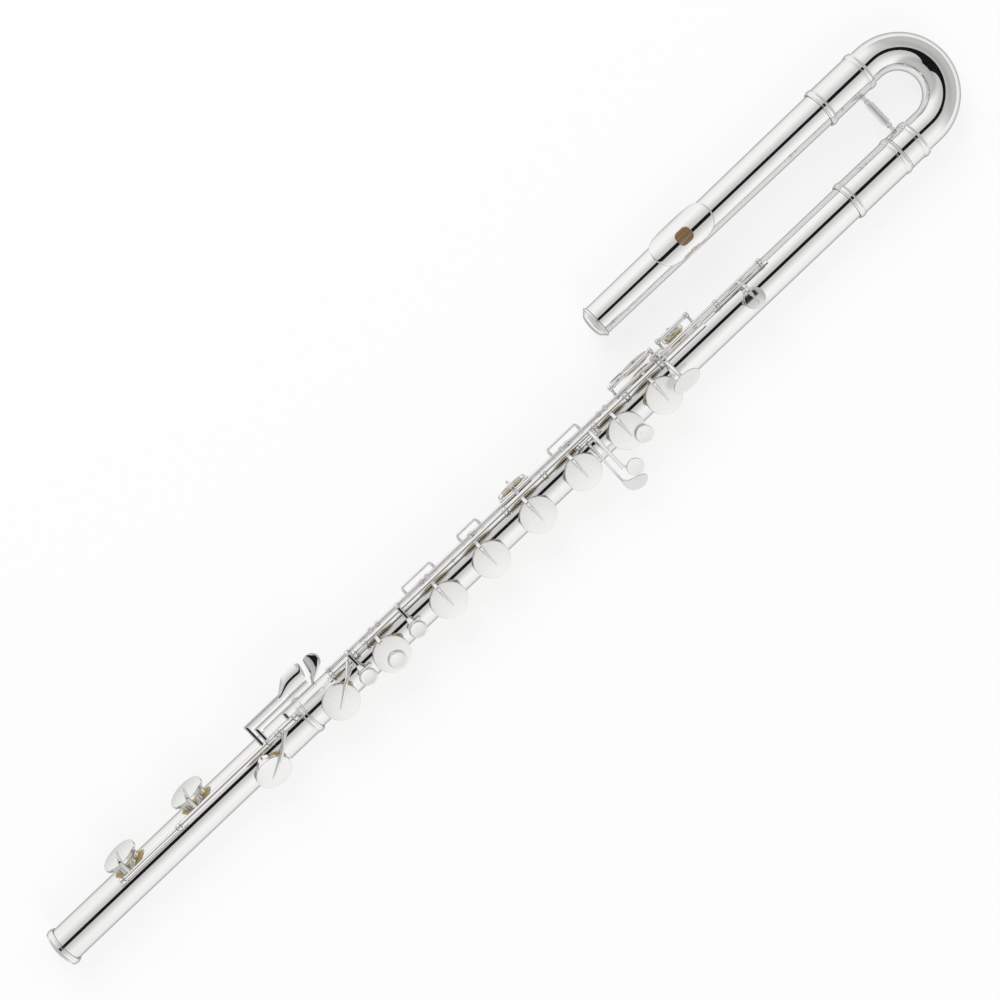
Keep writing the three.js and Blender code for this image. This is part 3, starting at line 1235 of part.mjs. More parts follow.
function buildFootKeys(foot) {
  const gap = POST_HALF + END_GAP;
  const cRunning = boreFor(ROD_RADIUS, HINGE_SIDES);
  const cTubeEnd = C_SHARP_TOUCH_X + ARM_WIDTH;
  buildKey(foot, {
    name: 'c_foot_key', x: C_FOOT_X, cup: LARGE_CUP_DIAMETER, angle: FOOT_BACK_ANGLE, open: KEY_OPEN,
    hinge: { ...footHinge, tube: C_TUBE_DIAMETER / 2 }, solidRod: true,
    tubes: [[FOOT_POST_LOW_X + gap, FOOT_POST_MIDDLE_X - gap]],
    level: [
      bar(ROD_RADIUS, FOOT_POST_LOW_X - POST_HALF, FOOT_POST_HIGH_X - END_GAP, ROD_SIDES),
      bar(C_TUBE_DIAMETER / 2, cTubeEnd + END_GAP, FOOT_POST_HIGH_X - gap, HINGE_SIDES), ...cFootTouch(),
    ],
  });
  buildKey(foot, {
    name: 'c_sharp_foot_key', x: C_SHARP_FOOT_X, cup: LARGE_CUP_DIAMETER, angle: FOOT_BACK_ANGLE,
    open: KEY_OPEN, hinge: { ...footHinge, rod: cRunning * Math.cos(Math.PI / HINGE_SIDES) - MESH_GAP },
    tubes: [[FOOT_POST_MIDDLE_X + gap, cTubeEnd]], level: cSharpFootTouch(),
  });
  buildKey(foot, {
    name: 'd_sharp_foot_key', x: D_SHARP_FOOT_X, hub: D_SHARP_HUB_X, cup: LARGE_CUP_DIAMETER,
    angle: FOOT_FRONT_ANGLE, open: 0, hinge: footHinge,
    tubes: [[FOOT_POST_HIGH_X + gap, D_SHARP_POST_X - gap]], level: dSharpFootTouch(),
  });
}

// The button on the E cup, and the touches of the middle and ring fingers
const BUTTON_RADIUS = 7.5;
const BUTTON_HEIGHT = 3;
const BUTTON_REACH = 5.4;
const FINGER_TOUCH_RADIUS = 7.4;
const MIDDLE_TOUCH_ALONG = 8.4;
const MIDDLE_TOUCH_REACH = 10.6;
const RING_ARM_ABOVE_G = 24.7;
const RING_TOUCH_ALONG = 7.6;
const RING_ARM_RISE = 7.5;
const RING_TOUCH_REACH = 25;
const RING_ARM_REACH = 19.5;
const TOUCH_RISE = 1.4;
const LINK_RADIUS = 1.1;

const RING_ARM_X = UPPER_G_KEY_X + RING_ARM_ABOVE_G;
const RING_TOUCH_X = RING_ARM_X + RING_TOUCH_ALONG;

function eButton(spec) {
  const base = rim(spec);
  const button = radialDisc(BUTTON_RADIUS, 0, spec.x, base - CUP_WALL / 2, base + BUTTON_HEIGHT, CUP_SIDES);
  button.translate(0, -BUTTON_REACH, 0);
  return [button];
}

function middleTouch(spec) {
  const x = spec.x + MIDDLE_TOUCH_ALONG;
  const z = crest(spec) + TOUCH_RISE;
  return [
    disc(FINGER_TOUCH_RADIUS, x, -MIDDLE_TOUCH_REACH, z, TOUCH_THICKNESS, 0),
    strut([x - LINK_RADIUS * 2, -MIDDLE_TOUCH_REACH + LINK_RADIUS * 2, rim(spec) + CUP_DOME / 2],
      [x - LINK_RADIUS, -MIDDLE_TOUCH_REACH + LINK_RADIUS, z], LINK_RADIUS * 2, LINK_RADIUS * 2, ARM_SIDES),
  ];
}

// The ring finger's arm rises behind the lever's short rod and passes over it
function ringTouch(spec) {
  const hinge = hingeInCupFrame(spec);
  const z = crest(spec) + TOUCH_RISE;
  const top = z + ARM_HEIGHT / 2;
  const inner = hinge.y + MESH_GAP;
  const outer = inner + ARM_HEIGHT;
  const rise = hinge.z + RING_ARM_RISE;
  const arm = sidePlate([
    [outer, hinge.z], [outer, rise], [spec.cup / 2, top], [-RING_ARM_REACH, top],
    [-RING_ARM_REACH, top - ARM_HEIGHT], [spec.cup / 2, top - ARM_HEIGHT], [inner, rise], [inner, hinge.z],
  ], ARM_WIDTH, RING_ARM_X);
  return [
    arm,
    strut([RING_ARM_X, -RING_ARM_REACH + ARM_WIDTH / 2, z], [RING_TOUCH_X, -RING_TOUCH_REACH, z],
      LINK_RADIUS, LINK_RADIUS, ARM_SIDES),
    disc(FINGER_TOUCH_RADIUS, RING_TOUCH_X, -RING_TOUCH_REACH, z + TOUCH_THICKNESS / 2, TOUCH_THICKNESS, 0),
  ];
}

// Rods and ribs of posts
const ROD_OVERHANG = 1.2;

function rod(parent, name, hinge, fromX, toX) {
  const mesh = add(parent, name, bar(hinge.rod, fromX, toX, ROD_SIDES), steel);
  mesh.position.set(0, hinge.y, hinge.z);
}

function buildRods(body, foot) {
  rod(body, 'd_rod', mainHinge, END_POST_X - ROD_OVERHANG, D_POST_X + ROD_OVERHANG);
  rod(body, 'main_rod', mainHinge, E_POST_X - ROD_OVERHANG, TOP_POST_X + ROD_OVERHANG);
  rod(body, 'trill_rod', trillHinge, THIN_END_X - SMALL_BALL, C_SHARP_END_X + SMALL_BALL);
  const half = G_SHARP_POST_SPAN + ROD_OVERHANG;
  rod(body, 'g_sharp_rod', gSharpHinge, G_SHARP_KEY_X - half, G_SHARP_KEY_X + half);
  rod(body, 'g_sharp_lever_rod', leverHinge, LEVER_POST_LOW_X - ROD_OVERHANG,
    LEVER_POST_HIGH_X + ROD_OVERHANG);
  rod(body, 'thumb_rod', thumbHinge, THUMB_POST_LOW_X - ROD_OVERHANG, THUMB_POST_HIGH_X + ROD_OVERHANG);
  rod(body, 'trill_cup_rod', trillCupHinge, TRILL_CUP_POST_LOW_X - ROD_OVERHANG,
    TRILL_CUP_POST_HIGH_X + ROD_OVERHANG);
  rod(foot, 'd_sharp_rod', footHinge, FOOT_POST_HIGH_X, D_SHARP_POST_X + ROD_OVERHANG);
}

// Posts on a hinge line: the ball is bored for the rod, or wider where a tube turns through it
function postsOn(hinge, stations, ballRadius, running, under = TUBE_RADIUS) {
  const { angle, radius } = polar(hinge);
  return {
    solids: stations.flatMap((x) => post(x, angle, radius, ballRadius, under)),
    bores: stations.map((x) => postBore(x, angle, radius, running)),
  };
}

// A short tab of rib that carries one post beside the long rib
function tab(x, fromAngle, toAngle) {
  return rib(fromAngle, toAngle, x - RIB_MARGIN / 2, x + RIB_MARGIN / 2);
}

function sideTab(x, angle) {
  return tab(x, RIB_TO_ANGLE - TAB_OVERLAP, angle + TAB_OVERLAP);
}

function buildRibs(body, foot) {
  const gSharpPosts = [G_SHARP_KEY_X - G_SHARP_POST_SPAN, G_SHARP_KEY_X + G_SHARP_POST_SPAN];
  const thumbPosts = [THUMB_POST_LOW_X, THUMB_POST_HIGH_X];
  const trillCupPosts = [TRILL_CUP_POST_LOW_X, TRILL_CUP_POST_HIGH_X];
  const leverPosts = [LEVER_POST_LOW_X, LEVER_POST_HIGH_X];
  const groups = [
    postsOn(mainHinge, mainPosts, POST_BALL, ROD_RADIUS),
    postsOn(trillHinge, [THIN_END_X, ...bridgePosts, TRILL_TOP_X], SMALL_BALL, TRILL_ROD_RADIUS),
    postsOn(trillHinge, trillGuides, SMALL_BALL, TRILL_TUBE_RADIUS),
    postsOn(gSharpHinge, gSharpPosts, SMALL_BALL, sideRod),
    postsOn(thumbHinge, thumbPosts, SMALL_BALL, sideRod),
    postsOn(trillCupHinge, trillCupPosts, SMALL_BALL, sideRod),
    postsOn(leverHinge, leverPosts, LEVER_BALL, TRILL_ROD_RADIUS),
  ];
  const pads = [
    ...gSharpPosts.map((x) => sideTab(x, polar(gSharpHinge).angle)),
    ...thumbPosts.map((x) => sideTab(x, polar(thumbHinge).angle)),
    ...trillCupPosts.map((x) => sideTab(x, polar(trillCupHinge).angle)),
    ...leverPosts.map((x) => tab(x, LEVER_HINGE_ANGLE - TAB_OVERLAP, RIB_FROM_ANGLE + TAB_OVERLAP)),
  ];
  const strapRib = rib(RIB_FROM_ANGLE, RIB_TO_ANGLE, END_POST_X - RIB_MARGIN,
    TRILL_CUP_POST_HIGH_X + RIB_MARGIN);
  const whole = fuse([strapRib, ...pads, ...groups.flatMap((group) => group.solids)]);
  add(body, 'main_post_rib', cut(whole, groups.flatMap((group) => group.bores)), silver);

  const upperRib = rib(UPPER_RIB_FROM_ANGLE, RIB_TO_ANGLE, C_SHARP_GUIDE_X - RIB_MARGIN,
    C_SHARP_END_X + RIB_MARGIN);
  const guide = postsOn(trillHinge, [C_SHARP_GUIDE_X], SMALL_BALL, TRILL_TUBE_RADIUS);
  const last = postsOn(trillHinge, [C_SHARP_END_X], SMALL_BALL, TRILL_ROD_RADIUS);
  const upper = cut(fuse([upperRib, ...guide.solids, ...last.solids]), [...guide.bores, ...last.bores]);
  add(body, 'upper_post_rib', upper, silver);

  const low = FOOT_HINGE_ANGLE - FOOT_RIB_SPREAD;
  const high = FOOT_HINGE_ANGLE + FOOT_RIB_SPREAD;
  const footPosts = postsOn(footHinge, [FOOT_POST_LOW_X, FOOT_POST_MIDDLE_X], POST_BALL, ROD_RADIUS);
  const footRib = rib(low, high, FOOT_POST_LOW_X - RIB_MARGIN, FOOT_POST_MIDDLE_X + RIB_MARGIN);
  add(foot, 'foot_post_rib', cut(fuse([footRib, ...footPosts.solids]), footPosts.bores), silver);

  const socketStations = [FOOT_POST_HIGH_X, D_SHARP_POST_X];
  const socketPosts = postsOn(footHinge, socketStations, POST_BALL, ROD_RADIUS, SLEEVE_RADIUS);
  const socketRib = rib(low, high, FOOT_POST_HIGH_X - POST_HALF, D_SHARP_POST_X + POST_HALF,
    SLEEVE_RADIUS, SOCKET_RIB_HEIGHT);
  add(foot, 'socket_post_rib', cut(fuse([socketRib, ...socketPosts.solids]), socketPosts.bores), silver);
}

const body = new THREE.Group();
flute.add(body);
buildBody(body);
buildFoot(flute);
buildBend(flute);
const head = new THREE.Group();
head.position.y = AXIS_SPACING;
flute.add(head);
buildHead(head);
buildMainKeys(body);
cSharpKey(body);
trillKey(body);
gSharpKey(body);
thumbKeys(body);
trillCupKey(body);
gSharpLever(body);
buildFootKeys(flute);
buildRods(body, flute);
buildRibs(body, flute);

// The origin is the middle of the box that holds the part, at the height of the table
const box = new THREE.Box3().setFromObject(flute);
const centre = box.getCenter(new THREE.Vector3());
flute.position.set(-centre.x, -centre.y, -box.min.z);
const part = new THREE.Group();
part.add(flute);

export default part;
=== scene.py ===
import json
import math

import bmesh
import bpy
from mathutils import Matrix, Vector


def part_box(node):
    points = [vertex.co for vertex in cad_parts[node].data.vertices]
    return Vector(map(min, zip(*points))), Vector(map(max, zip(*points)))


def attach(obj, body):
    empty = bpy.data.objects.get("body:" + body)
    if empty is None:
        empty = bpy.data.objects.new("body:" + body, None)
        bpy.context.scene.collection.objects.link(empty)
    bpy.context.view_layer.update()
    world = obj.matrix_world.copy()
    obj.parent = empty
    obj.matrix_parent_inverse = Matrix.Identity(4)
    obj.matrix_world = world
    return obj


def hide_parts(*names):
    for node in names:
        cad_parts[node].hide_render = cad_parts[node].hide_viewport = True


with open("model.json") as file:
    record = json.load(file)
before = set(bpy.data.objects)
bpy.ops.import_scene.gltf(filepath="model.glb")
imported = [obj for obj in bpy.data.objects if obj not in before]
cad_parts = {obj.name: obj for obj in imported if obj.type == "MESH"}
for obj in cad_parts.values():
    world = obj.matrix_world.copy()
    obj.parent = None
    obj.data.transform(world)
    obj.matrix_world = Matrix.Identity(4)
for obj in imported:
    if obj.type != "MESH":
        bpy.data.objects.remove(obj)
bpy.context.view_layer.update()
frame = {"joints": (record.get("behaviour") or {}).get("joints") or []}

# The maker's frame: X is counted along the instrument from the foot end, Y and Z from a tube's axis.
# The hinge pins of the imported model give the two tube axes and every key's pivot.
mm = 0.001
joint_at = {joint["name"]: Vector(joint["pos_m"]) for joint in frame["joints"] if "pos_m" in joint}
foot_end_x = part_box("foot_tube")[0].x
axis_height = joint_at["foot_turn"].z
body_place = Matrix.Translation((foot_end_x, joint_at["foot_turn"].y, axis_height))
head_place = Matrix.Translation((foot_end_x, joint_at["crown_turn"].y, axis_height))


def span(node):
    """Where a piece starts and ends along the instrument."""
    low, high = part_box(node)
    return low.x - foot_end_x, high.x - foot_end_x


def middle(node):
    return sum(span(node)) / 2


def around(angle, radius, x=0.0):
    """A point at an angle from straight up and a distance from the tube axis."""
    turn = math.radians(angle)
    return Vector((x, radius * math.sin(turn), radius * math.cos(turn)))


# Foot joint, drawn from one seamless tube: three tone holes are pulled up through its wall and their
# rims rolled over. It is silver-plated and buffed to a mirror, with faint swirls left by the buff.
TUBE_RADIUS = 15 * mm
TUBE_WALL = 0.8 * mm
HOLE_RISE = 1.6 * mm
HOLE_WALL = 1 * mm
RIM_ROLL = 0.45 * mm
LARGE_CUP = 30.6 * mm
HOLE_SHARE = 0.76
SIDE_HOLE_SHARE = 0.68
FOOT_BACK_ANGLE = 76.4
FOOT_FRONT_ANGLE = -43.6
ROUND_STEPS = 128
RIM_STEPS = 56
SILVER = (0.93, 0.927, 0.92, 1)
SILVER_SHADE = (0.87, 0.865, 0.855, 1)
# The grey edge tint is painted shade: it darkens every metal towards its grazing edges, standing in for the
# table's shadow seen in the metal.
EDGE_PAINTED_SHADE = (0.36, 0.36, 0.36, 1)
WHITE_EDGE = (1, 1, 1, 1)


def set_inputs(node, **inputs):
    """Gives a node its inputs: another node's output is linked, anything else is set as a value."""
    for name, value in inputs.items():
        socket = node.inputs[int(name[1:]) if name[1:].isdigit() else name.replace("_", " ")]
        if isinstance(value, bpy.types.NodeSocket):
            node.id_data.links.new(value, socket)
        else:
            socket.default_value = value
    return node


def add_node(tree, kind, settings=(), **inputs):
    node = tree.nodes.new("ShaderNode" + kind)
    for name, setting in dict(settings).items():
        setattr(node, name, setting)
    return set_inputs(node, **inputs)


def new_material(name):
    """A material with its node tree and its shader."""
    material = bpy.data.materials.new(name)
    material.use_nodes = True
    return material, material.node_tree, material.node_tree.nodes["Principled BSDF"]


def colour_mix(tree, share, first, second):
    mix = add_node(tree, "Mix", {"data_type": "RGBA"}, Factor=share, A=first, B=second)
    return mix.outputs["Result"]


def plated(name, light, shade, smooth, rough, patch, swirl, depth, edge=EDGE_PAINTED_SHADE, metal=1.0, along=1.0,
           glow=0.0):
    """Metal with cloudy patches of shade, a roughness that wanders, and fine buffing marks. Its edge tint, grey
    unless another is given, is painted shade on its grazing edges.
    """
    material, tree, shader = new_material(name)
    spot = add_node(tree, "TexCoord").outputs["Object"]
    place = add_node(tree, "Mapping", Vector=spot, Scale=(along, 1, 1)).outputs["Vector"]
    cloud = add_node(tree, "TexNoise", Vector=place, Scale=patch, Detail=4).outputs["Fac"]
    mark = add_node(tree, "TexNoise", Vector=place, Scale=swirl, Detail=3, Distortion=1.2).outputs["Fac"]
    colour = colour_mix(tree, cloud, light, shade)
    spread = add_node(tree, "MapRange", Value=mark, From_Min=0.3, From_Max=0.7, To_Min=smooth, To_Max=rough)
    bump = add_node(tree, "Bump", Height=mark, Strength=0.3, Distance=depth)
    set_inputs(shader, Metallic=metal, Specular_Tint=edge, Base_Color=colour,
               Roughness=spread.outputs["Result"], Normal=bump.outputs["Normal"])
    # A glow is painted light: the metal shines in its own patchy colour though no lamp lights it there.
    if glow:
        set_inputs(shader, Emission_Color=colour, Emission_Strength=glow)
    return material


mirror_silver = plated("mirror_silver", SILVER, SILVER_SHADE, 0.03, 0.07, 22, 900, 0.0008 * mm)


def lathe(outline, steps=ROUND_STEPS, along="X"):
    """Turns a closed outline of (place along the axis, radius) about X, or about Z."""
    bm = bmesh.new()
    if along == "X":
        corners = [bm.verts.new((place, radius, 0)) for place, radius in outline]
    else:
        corners = [bm.verts.new((radius, 0, place)) for place, radius in outline]
    rim = [bm.edges.new(pair) for pair in zip(corners, corners[1:] + corners[:1])
           if not (is_on_axis(pair[0], along) and is_on_axis(pair[1], along))]
    axis = (1, 0, 0) if along == "X" else (0, 0, 1)
    bmesh.ops.spin(bm, geom=corners + rim, cent=(0, 0, 0), axis=axis, angle=2 * math.pi, steps=steps,
                   use_merge=True)
    bmesh.ops.remove_doubles(bm, verts=bm.verts, dist=0.0005 * mm)
    bmesh.ops.dissolve_degenerate(bm, edges=bm.edges, dist=0.0005 * mm)
    bmesh.ops.recalc_face_normals(bm, faces=bm.faces)
    return bm


def is_on_axis(vert, along):
    return abs(vert.co.y if along == "X" else vert.co.x) < 0.0001 * mm


def cylinder(start, end, radius, steps=ROUND_STEPS, along="X"):
    return lathe([(start, 0), (start, radius), (end, radius), (end, 0)], steps, along)


def moved(bm, *places):
    """The same solid, carried through one place after another."""
    for place in places:
        bmesh.ops.transform(bm, matrix=place, verts=bm.verts)
    return bm


def together(parts):
    """Several solids in one, each still closed."""
    whole = bmesh.new()
    for part in parts:
        carrier = bpy.data.meshes.new("carrier")
        part.to_mesh(carrier)
        part.free()
        whole.from_mesh(carrier)
        bpy.data.meshes.remove(carrier)
    return whole


def ease(bm, width, segments=3, steeper=32):
    """Breaks every edge that is sharper than an angle, as a file and a buff do."""
    sharp = [edge for edge in bm.edges
             if len(edge.link_faces) == 2 and edge.calc_face_angle(0) > math.radians(steeper)]
    bmesh.ops.bevel(bm, geom=sharp, affect="EDGES", offset=width, segments=segments, profile=0.5,
                    material=-1, clamp_overlap=True)
    return bm


def as_object(name, bm):
    mesh = bpy.data.meshes.new(name)
    bm.to_mesh(mesh)
    bm.free()
    obj = bpy.data.objects.new(name, mesh)
    bpy.context.scene.collection.objects.link(obj)
    return obj


def cut_or_join(obj, operation, tool_bm, crossing=False):
    """Cuts a tool out of a piece, or joins it on, and keeps the result as plain mesh."""
    tool = as_object("tool", tool_bm)
    step = obj.modifiers.new("step", "BOOLEAN")
    step.operation = operation
    step.solver = "EXACT"
    step.use_self = crossing
    step.object = tool
    shaped = obj.evaluated_get(bpy.context.evaluated_depsgraph_get())
    obj.data = bpy.data.meshes.new_from_object(shaped)
    obj.modifiers.clear()
    bpy.data.objects.remove(tool)
    return obj


def finished(obj, material, body, nodes=(), corner=35, flats=True):
    """Gives a piece its finish, hangs it on its body and hides the nodes that it stands for."""
    if not obj.data.materials:
        obj.data.materials.append(material)
    obj.data.shade_smooth()
    obj.data.set_sharp_from_angle(angle=math.radians(corner))
    if flats:
        weighted = obj.modifiers.new("flats", "WEIGHTED_NORMAL")
        weighted.keep_sharp = True
        weighted.weight = 100
    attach(obj, body)
    if nodes:
        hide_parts(*nodes)
    return obj


def two_finishes(obj, place, top, side, limit=0.85):
    """Leaves a piece's top in one finish and polishes its sides and its rounded edge to another."""
    up = (place.to_3x3() @ Vector((0, 0, 1))).normalized()
    obj.data.materials.append(top)
    obj.data.materials.append(side)
    for face in obj.data.polygons:
        face.material_index = int(abs(face.normal.dot(up)) < limit)
    return obj


def true_round(obj, place, radius):
    """Gives the outer wall of a tube the normals of a true cylinder, right up to its holes."""
    mesh = obj.data
    centre = place.translation
    normals = [corner.vector.copy() for corner in mesh.corner_normals]
    spots = []
    for vert in mesh.vertices:
        out = Vector((0, vert.co.y - centre.y, vert.co.z - centre.z))
        on_wall = abs(out.length - radius) < radius * 0.002
        spots.append(out.normalized() if on_wall else None)
    for face in mesh.polygons:
        corners = [spots[index] for index in face.vertices]
        if all(corner is not None for corner in corners):
            if face.normal.dot(corners[0]) > 0.9:
                for loop, corner in zip(face.loop_indices, corners):
                    normals[loop] = corner
    mesh.normals_split_custom_set(normals)


def turned_about_x(angle):
    return Matrix.Rotation(math.radians(angle), 4, "X")


def hole_place(x, angle):
    return Matrix.Translation((x, 0, 0)) @ turned_about_x(-angle)


def drawn_tube(name, body, holes):
    """A tube with chimneys drawn up from its wall. Each hole is (x, angle, radius)."""
    start, end = span(name)
    seat = TUBE_RADIUS + HOLE_RISE
    deep = TUBE_RADIUS / 2
    pull = 2 * mm
    obj = as_object(name + "_polished", moved(cylinder(start, end, TUBE_RADIUS), body_place))
    chimneys, throats = [], []
    for x, angle, radius in holes:
        rolled = [(seat - RIM_ROLL + RIM_ROLL * math.sin(turn), radius - RIM_ROLL + RIM_ROLL * math.cos(turn))
                  for turn in (math.pi / 2 * step / 4 for step in range(5))]
        neck = [(deep, 0), (deep, radius - RIM_ROLL / 2), (seat - 2.4 * RIM_ROLL, radius - RIM_ROLL / 2)]
        chimney = lathe(neck + rolled + [(seat, 0)], RIM_STEPS, "Z")
        chimneys.append(moved(chimney, hole_place(x, angle), body_place))
        throat = cylinder(deep, seat + pull, radius - HOLE_WALL, RIM_STEPS, "Z")
        throats.append(moved(throat, hole_place(x, angle), body_place))
    cut_or_join(obj, "UNION", together(chimneys))
    reamer = cylinder(start - pull, end + pull, TUBE_RADIUS - TUBE_WALL)
    cut_or_join(obj, "DIFFERENCE", moved(reamer, body_place))
    cut_or_join(obj, "DIFFERENCE", together(throats))
    finished(obj, mirror_silver, body, [name], 40, flats=False)
    true_round(obj, body_place, TUBE_RADIUS)


def hole_radius(cup, share=HOLE_SHARE):
    return cup / 2 * share


drawn_tube("foot_tube", "foot", [
    (middle("c_foot_pad"), FOOT_BACK_ANGLE, hole_radius(LARGE_CUP)),
    (middle("c_sharp_foot_pad"), FOOT_BACK_ANGLE, hole_radius(LARGE_CUP)),
    (middle("d_sharp_foot_pad"), FOOT_FRONT_ANGLE, hole_radius(LARGE_CUP)),
])

# The foot's end ring and its socket. Both are turned from thicker tube: a sleeve with a half-round bead
# between two narrow steps, soldered on and buffed bright.
RING_RADIUS = axis_height
SLEEVE_RADIUS = 16.1 * mm
FIT = 0.02 * mm
RING_WIDTH = 6 * mm
STEP_SHARE = 0.17
STEP_HEIGHT_SHARE = 0.35
BEAD_STEPS = 12
EDGE = 0.15 * mm


def bead(start, base):
    """The outline of a ring: a step, a half-round bead up to the resting radius, and a step."""
    step = RING_WIDTH * STEP_SHARE
    shoulder = base + (RING_RADIUS - base) * STEP_HEIGHT_SHARE
    centre = start + RING_WIDTH / 2
    half = RING_WIDTH / 2 - step
    arc = [(centre - half * math.cos(math.pi * i / BEAD_STEPS),
            shoulder + (RING_RADIUS - shoulder) * math.sin(math.pi * i / BEAD_STEPS))
           for i in range(BEAD_STEPS + 1)]
    end = start + RING_WIDTH
    return [(start, base), (start, shoulder), *arc, (end, shoulder), (end, base)]


def turned_part(name, body, place, outline, steps=ROUND_STEPS, steeper=50):
    """A part turned on the lathe from its outline, its sharp edges broken."""
    obj = as_object(name + "_turned", moved(ease(lathe(outline, steps), EDGE, 2, steeper), place))
    finished(obj, mirror_silver, body, [name])


def sleeve(name, body, place, bead_start, bead_end):
    start, end = span(name)
    bore = TUBE_RADIUS + FIT
    low = bead(start, SLEEVE_RADIUS) if bead_start else [(start, SLEEVE_RADIUS)]
    high = bead(end - RING_WIDTH, SLEEVE_RADIUS) if bead_end else [(end, SLEEVE_RADIUS)]
    turned_part(name, body, place, [(start, bore), *low, *high, (end, bore)])


sleeve("foot_socket", "foot", body_place, False, True)
ring_start = span("foot_end_ring")[0]
turned_part("foot_end_ring", "foot", body_place, [
    (ring_start, TUBE_RADIUS + FIT), *bead(ring_start, (TUBE_RADIUS + RING_RADIUS) / 2),
    (ring_start + RING_WIDTH, TUBE_RADIUS + FIT)])

# Body tube: the same drawn tube with twelve tone holes, eight under the front cups, one small one near
# the bend and three on the far side. The barrel sleeve with its two rings is soldered over its upper end.
SMALL_CUP = 17.4 * mm
SIDE_CUP = 27.6 * mm
TRILL_CUP = 20 * mm
FRONT_ANGLE = -32
SMALL_HOLE_ANGLE = -15
G_SHARP_ANGLE = 98
THUMB_ANGLE = 96
TRILL_CUP_ANGLE = 95
front_names = ["d", "e", "f", "f_sharp", "lower_g", "upper_g", "a", "b_flat"]
drawn_tube("body_tube", "body", [
    *[(middle(name + "_pad"), FRONT_ANGLE, hole_radius(LARGE_CUP)) for name in front_names],
    (middle("c_sharp_pad"), SMALL_HOLE_ANGLE, hole_radius(SMALL_CUP)),
    (middle("g_sharp_pad"), G_SHARP_ANGLE, hole_radius(SIDE_CUP, SIDE_HOLE_SHARE)),
    (middle("thumb_pad"), THUMB_ANGLE, hole_radius(SIDE_CUP, SIDE_HOLE_SHARE)),
    (middle("trill_cup_pad"), TRILL_CUP_ANGLE, hole_radius(TRILL_CUP)),
])
sleeve("barrel_sleeve", "body", body_place, True, True)

# The U-bend, bent from tube filled with pitch and buffed after the pitch is melted out. A collar with one
# ring closes it on the barrel, and a longer sleeve with two rings takes the head.
AXIS_SPACING = 68 * mm
BEND_STEPS = 72
TENON_STEPS = 4
BEND_END_RADIUS = AXIS_SPACING / 2
bend_low, bend_high = span("bend_tube")
bend_start = bend_high - BEND_END_RADIUS - TUBE_RADIUS
head_tenon_end = span("head_tube")[1]


def only(kind, items):
    """The verts, edges or faces among what an operator gives back."""
    return [item for item in items if isinstance(item, kind)]


ends = []
bend = bmesh.new()
facing_x = Matrix.Rotation(math.pi / 2, 4, "Y")
for shell in (TUBE_RADIUS, TUBE_RADIUS - TUBE_WALL):
    before = set(bend.verts)
    bmesh.ops.create_circle(bend, cap_ends=False, segments=ROUND_STEPS, radius=shell,
                            matrix=Matrix.Translation((bend_start, 0, 0)) @ facing_x)
    ring = [vert for vert in bend.verts if vert not in before]
    loop = list({edge for vert in ring for edge in vert.link_edges})
    made = bmesh.ops.spin(bend, geom=ring + loop, cent=(bend_start, BEND_END_RADIUS, 0), axis=(0, 0, 1),
                          angle=math.pi, steps=BEND_STEPS)
    far_loop = only(bmesh.types.BMEdge, made["geom_last"])
    for open_loop, reach in ((loop, bend_low - bend_start), (far_loop, head_tenon_end - bend_start)):
        for _ in range(TENON_STEPS):
            grown = bmesh.ops.extrude_edge_only(bend, edges=open_loop)["geom"]
            open_loop = only(bmesh.types.BMEdge, grown)
            bmesh.ops.translate(bend, verts=only(bmesh.types.BMVert, grown), vec=(reach / TENON_STEPS, 0, 0))
        ends.append(open_loop)
for outer, inner in ((ends[0], ends[2]), (ends[1], ends[3])):
    bmesh.ops.bridge_loops(bend, edges=outer + inner)
bmesh.ops.recalc_face_normals(bend, faces=bend.faces)
bend_piece = as_object("bend_tube_bent", moved(bend, body_place))
finished(bend_piece, mirror_silver, "bend", ["bend_tube"])
sleeve("bend_collar", "bend", body_place, False, True)
sleeve("head_sleeve", "bend", head_place, True, True)

# The brace keeps the two legs apart: a thick turned bar between two beads, with a saddle flange at each
# end soldered to the sleeves. It is turned in one piece and buffed.
BRACE_RADIUS = 3.3 * mm
BRACE_NECK = 1.7 * mm
BRACE_BEAD = 2.6 * mm
BRACE_FLANGE = 3.5 * mm
FLANGE_THICKNESS = 1.2 * mm
BEAD_SHARE = 0.16
SATIN = (0.96, 0.955, 0.945, 1)
SATIN_SHADE = (0.9, 0.895, 0.88, 1)
brushed_silver = plated("brushed_silver", SATIN, SATIN_SHADE, 0.26, 0.34, 60, 700, 0.0005 * mm, metal=0.8)


def flowing(points, steps=6):
    """A smooth line through a few given points."""
    line = [Vector(point) for point in points]
    smooth = []
    for i in range(len(line) - 1):
        before, start, end = line[max(i - 1, 0)], line[i], line[i + 1]
        after = line[min(i + 2, len(line) - 1)]
        for step in range(steps):
            t = step / steps
            bend_in = 2 * before - 5 * start + 4 * end - after
            bend_out = 3 * start - before - 3 * end + after
            smooth.append((2 * start + (end - before) * t + bend_in * t * t + bend_out * t ** 3) / 2)
    smooth.append(line[-1])
    return smooth


def arc(centre, height, radius, from_turn, to_turn, steps=8, squash=1.0):
    """Points of a round stretch in an outline, from one angle to another, in degrees."""
    turns = [math.radians(from_turn + (to_turn - from_turn) * i / steps) for i in range(steps + 1)]
    return [(centre + radius * squash * math.cos(turn), height + radius * math.sin(turn)) for turn in turns]


